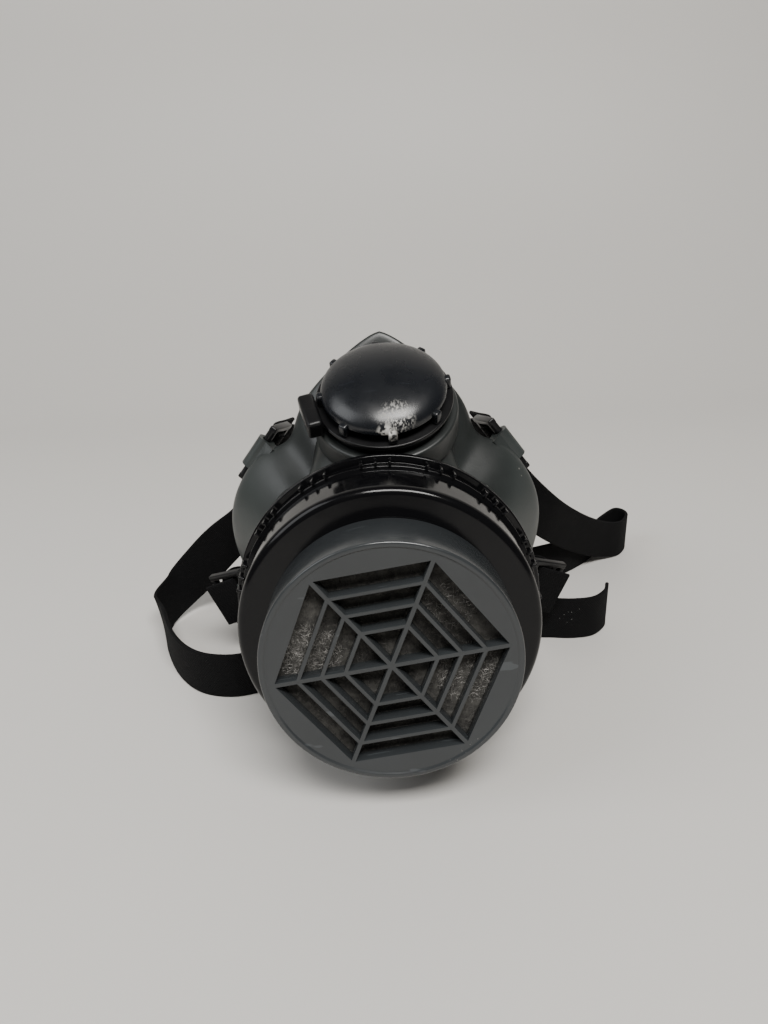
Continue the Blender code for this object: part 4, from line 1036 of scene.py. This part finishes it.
NECK_ROUTE = [((-0.0550, 0.1090, -0.0340), UP), ((-0.0470, 0.1250, -0.0430), UP),
              *on_floor(UP, (-0.0300, 0.1390), (0.0000, 0.1450), (0.0300, 0.1390)),
              ((0.0470, 0.1250, -0.0430), UP), ((0.0550, 0.1090, -0.0340), UP)]
TAIL_ROUTE = on_floor(UP, (0.0660, 0.1010), (0.0720, 0.1005), (0.0810, 0.0995), (0.0900, 0.1010),
                      (0.0965, 0.1070), (0.0990, 0.1130))
# Ways through a buckle: (along it from the hinge, above it).
THREADED = [(BUCKLE_LENGTH + 0.0180, 0.0042), (BUCKLE_LENGTH + 0.0080, 0.0040), (0.0143, 0.0040),
            (0.0073, 0.0023), (0.0044, 0.0012), (0.0037, -0.0004), (0.0048, -0.0018), (0.0073, -0.0022),
            (0.0096, -0.0013), (0.0109, 0.0), (0.0122, 0.0014), (0.0143, 0.0021),
            (BUCKLE_LENGTH + 0.0030, 0.0014), (BUCKLE_LENGTH + 0.0100, 0.0)]
FOLDED = [(0.0160, 0.0046), (0.0143, 0.0042), (0.0073, 0.0023), (0.0044, 0.0012), (0.0037, -0.0004),
          (0.0048, -0.0018), (0.0073, -0.0022), (0.0096, -0.0026), (0.0100, -0.0060)]


def buckle_stops(side, level, spots):
    """Stops of a strap given in a buckle's own frame, from the filter's front centre."""
    place, _ = LUGS[side, level]
    width = place.to_3x3() @ ACROSS
    width = width if width.z > 0.0 else -width
    return [(place @ Vector((0.0, along, above)) - FILTER_ORIGIN, width) for along, above in spots]


def webbing_section():
    """Outline of the webbing: (across, above) with soft selvedges, in halves of its width and thickness."""
    upper = [(-1.0, 0.0), (-0.985, 0.62), (-0.94, 1.0), (-0.88, 0.92), (-0.5, 0.94), (0.0, 0.94), (0.5, 0.94),
             (0.88, 0.92), (0.94, 1.0), (0.985, 0.62), (1.0, 0.0)]
    return upper + [(u, -t) for u, t in upper[-2:0:-1]]


def webbing(name, stops, first=0, last=None):
    """Flat strap along a route, or some rows of it, that turns with its width direction."""
    middles = smooth_path([Vector(p) for p, _ in stops], STRAP_STEPS)
    widths = smooth_path([Vector(w).normalized() for _, w in stops], STRAP_STEPS)
    section = webbing_section()
    bm = bmesh.new()
    rows, lengths, travelled = [], [], 0.0
    for i, (middle, width) in enumerate(zip(middles, widths)):
        run = (middles[min(i + 1, len(middles) - 1)] - middles[max(i - 1, 0)]).normalized()
        across = (width - run * width.dot(run)).normalized()
        above = across.cross(run)
        reach = abs(across.z) * WEBBING_WIDTH / 2 + abs(above.z) * WEBBING_THICK / 2
        lifted = Vector((middle.x, middle.y, max(middle.z, reach - FLOOR_DROP)))
        travelled += (middles[i] - middles[i - 1]).length if i else 0.0
        lengths.append(travelled)
        rows.append([lifted + across * (u * WEBBING_WIDTH / 2) + above * (t * WEBBING_THICK / 2)
                     for u, t in section])
    last = len(rows) if last is None else last
    uv = bm.loops.layers.uv.new("webbing")
    made = [[bm.verts.new(p) for p in row] for row in rows[first:last]]
    count = len(section)
    for i, (a, b) in enumerate(zip(made, made[1:])):
        for k in range(count):
            n = (k + 1) % count
            face = bm.faces.new((a[k], a[n], b[n], b[k]))
            spots = ((section[k], i), (section[n], i), (section[n], i + 1), (section[k], i + 1))
            for loop, ((u, _), row) in zip(face.loops, spots):
                loop[uv].uv = ((u + 1.0) * WEBBING_WIDTH / 2, lengths[first + row])
    for end, at in ((made[0], first), (made[-1][::-1], last - 1)):
        face = bm.faces.new(end)
        for loop in face.loops:
            loop[uv].uv = (0.0, lengths[at])
    strap = link(name, to_mesh(bm, name))
    strap.data.transform(REST)
    return strap


def blended_strap(strap, side, level, far, along, *nodes):
    """Finish a strap that runs through a buckle: webbing, shading and the CAD nodes it stands for, with its
    place baked into the mesh. A spot on its route and a spot on the buckle are worked out but not used.
    """
    strap.data.materials.append(WEBBING)
    strap.data.shade_smooth()
    strap.data.set_sharp_from_angle(angle=math.radians(60.0))
    if nodes:
        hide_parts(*nodes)
    near = LUGS[side, level][0] @ Vector((0.0, along, 0.0))
    start = FILTER_ORIGIN + Vector(far)
    if level == "upper":
        start = Vector((near.x, near.y, start.z))
    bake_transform(strap)


def harness():
    """Buckles and straps; each strap is threaded through its buckle."""
    for side, level in LUGS:
        buckle(side, level)
    for side, route in (("left", LEFT_ROUTE), ("right", RIGHT_ROUTE)):
        strap = webbing(f"strap_{side}_fine", buckle_stops(side, "upper", THREADED) + route)
        blended_strap(strap, side, "upper", route[0][0], BUCKLE_LENGTH, f"strap_{side}")
    stops = buckle_stops("left", "lower", FOLDED) + NECK_ROUTE + buckle_stops("right", "lower", FOLDED)[::-1]
    half = (len(stops) - 1) * STRAP_STEPS // 2
    for side, first, last, spot, nodes in (("left", 0, half + 1, NECK_ROUTE[0], ["strap_neck"]),
                                           ("right", half, None, NECK_ROUTE[-1], [])):
        strap = webbing(f"strap_neck_{side}", stops, first, last)
        blended_strap(strap, side, "lower", spot[0], BUCKLE_LENGTH / 2, *nodes)
    tail = webbing("strap_tail_fine", TAIL_ROUTE)
    piece(tail, "mask", "webbing", WEBBING, "strap_tail", crease=60.0)


def kept_nodes():
    """Finishes of the CAD pieces that are shown as they are."""
    finishes = {"front_screen": SCREEN_STEEL, "rear_screen": SCREEN_STEEL, "carbon_bed": CHARCOAL,
                "particulate_disc": PAPER, "filter_gasket": GASKET_RUBBER, "inhale_flap": FLAP_RUBBER,
                "exhale_flap": FLAP_RUBBER, "inhale_seat": PLASTIC_BLACK, "exhale_seat": PLASTIC_BLACK}
    for name, finish in finishes.items():
        node = frame["nodes"][name]
        node.data.materials.clear()
        node.data.materials.append(finish)


# ---- stage, lights and camera
FLOOR_REACH = 3.0
FLOOR_BACK = 0.35
FLOOR_GAP = 0.0001
SWEEP_R = 0.35
SWEEP_STEPS = 24
WALL_HEIGHT = 2.5
WORLD_COLOR = (1.0, 0.98, 0.95)
WORLD_STRENGTH = 0.10
AIM = (0.0, 0.0, 0.05)
# name, place, size, power, color
LIGHTS = (("key", (0.17, -0.80, 1.25), (0.8, 0.40), 30.0, (1.0, 0.98, 0.95)),
          ("fill", (-1.0, -0.4, 0.9), (0.8, 0.8), 7.0, (0.96, 0.98, 1.0)))
SENSOR_WIDTH = 36.0
LENS = 27.0
CAMERA_PITCH = 23.3167
CAMERA_ROLL = -2.0718
CAMERA_SPOT = (-0.00061, -0.19165, 0.13283)    # from the filter's front centre


def stage():
    """Pale floor that sweeps up far behind."""
    bm = bmesh.new()
    bend = [(FLOOR_BACK + SWEEP_R * math.sin(a), SWEEP_R - SWEEP_R * math.cos(a))
            for a in (math.radians(90.0) * i / SWEEP_STEPS for i in range(1, SWEEP_STEPS + 1))]
    profile = [(-FLOOR_REACH, 0.0), (FLOOR_BACK, 0.0), *bend, (FLOOR_BACK + SWEEP_R, WALL_HEIGHT)]
    rows = [[bm.verts.new((x, y, z - FLOOR_GAP)) for x in (-FLOOR_REACH, FLOOR_REACH)] for y, z in profile]
    for a, b in zip(rows, rows[1:]):
        bm.faces.new((a[0], a[1], b[1], b[0]))
    floor = link("floor", to_mesh(bm, "floor", turn_out=False))
    floor.data.shade_smooth()
    finish = Finish("pale_floor", (0.60, 0.585, 0.56), 0.55)
    finish.set("Base Color", finish.mix(finish.noise(3.0, 4.0), (0.585, 0.570, 0.545), (0.615, 0.60, 0.575)))
    floor.data.materials.append(finish.material)


def area_light(name, place, size, power, color):
    """Soft rectangular light aimed at the mask."""
    light = bpy.data.lights.new(name, "AREA")
    light.shape = "RECTANGLE"
    light.size, light.size_y = size
    light.energy = power
    light.color = color
    obj = bpy.data.objects.new(name, light)
    obj.location = place
    obj.rotation_euler = (Vector(AIM) - Vector(place)).to_track_quat("-Z", "Y").to_euler()
    bpy.context.scene.collection.objects.link(obj)


def lights():
    """Soft room light from above and behind the viewer."""
    world = bpy.data.worlds.new("room")
    world.use_nodes = True
    sky = world.node_tree.nodes["Background"].inputs
    sky["Color"].default_value = (*WORLD_COLOR, 1.0)
    sky["Strength"].default_value = WORLD_STRENGTH
    bpy.context.scene.world = world
    for light in LIGHTS:
        area_light(*light)


def camera():
    """Camera a hand above the cartridge, looking down at it."""
    data = bpy.data.cameras.new("camera")
    data.sensor_width = SENSOR_WIDTH
    data.lens = LENS
    data.clip_start = 0.01
    obj = bpy.data.objects.new("camera", data)
    bpy.context.scene.collection.objects.link(obj)
    pitch, roll = math.radians(CAMERA_PITCH), math.radians(CAMERA_ROLL)
    level = Matrix(((1.0, 0.0, 0.0), (0.0, -math.sin(pitch), -math.cos(pitch)),
                    (0.0, math.cos(pitch), -math.sin(pitch))))
    rolled = Matrix(((math.cos(roll), -math.sin(roll), 0.0), (math.sin(roll), math.cos(roll), 0.0),
                     (0.0, 0.0, 1.0)))
    view = rolled @ level
    obj.matrix_world = from_columns(view[0], -view[1], -view[2], FILTER_ORIGIN + Vector(CAMERA_SPOT))
    bpy.context.scene.camera = obj


prefilter_cap()
prefilter_pad()
cartridge_shell()
cartridge_base()
filter_socket()
exhale_cap()
exhale_housing()
facepiece()
harness()
kept_nodes()
stage()
lights()
camera()
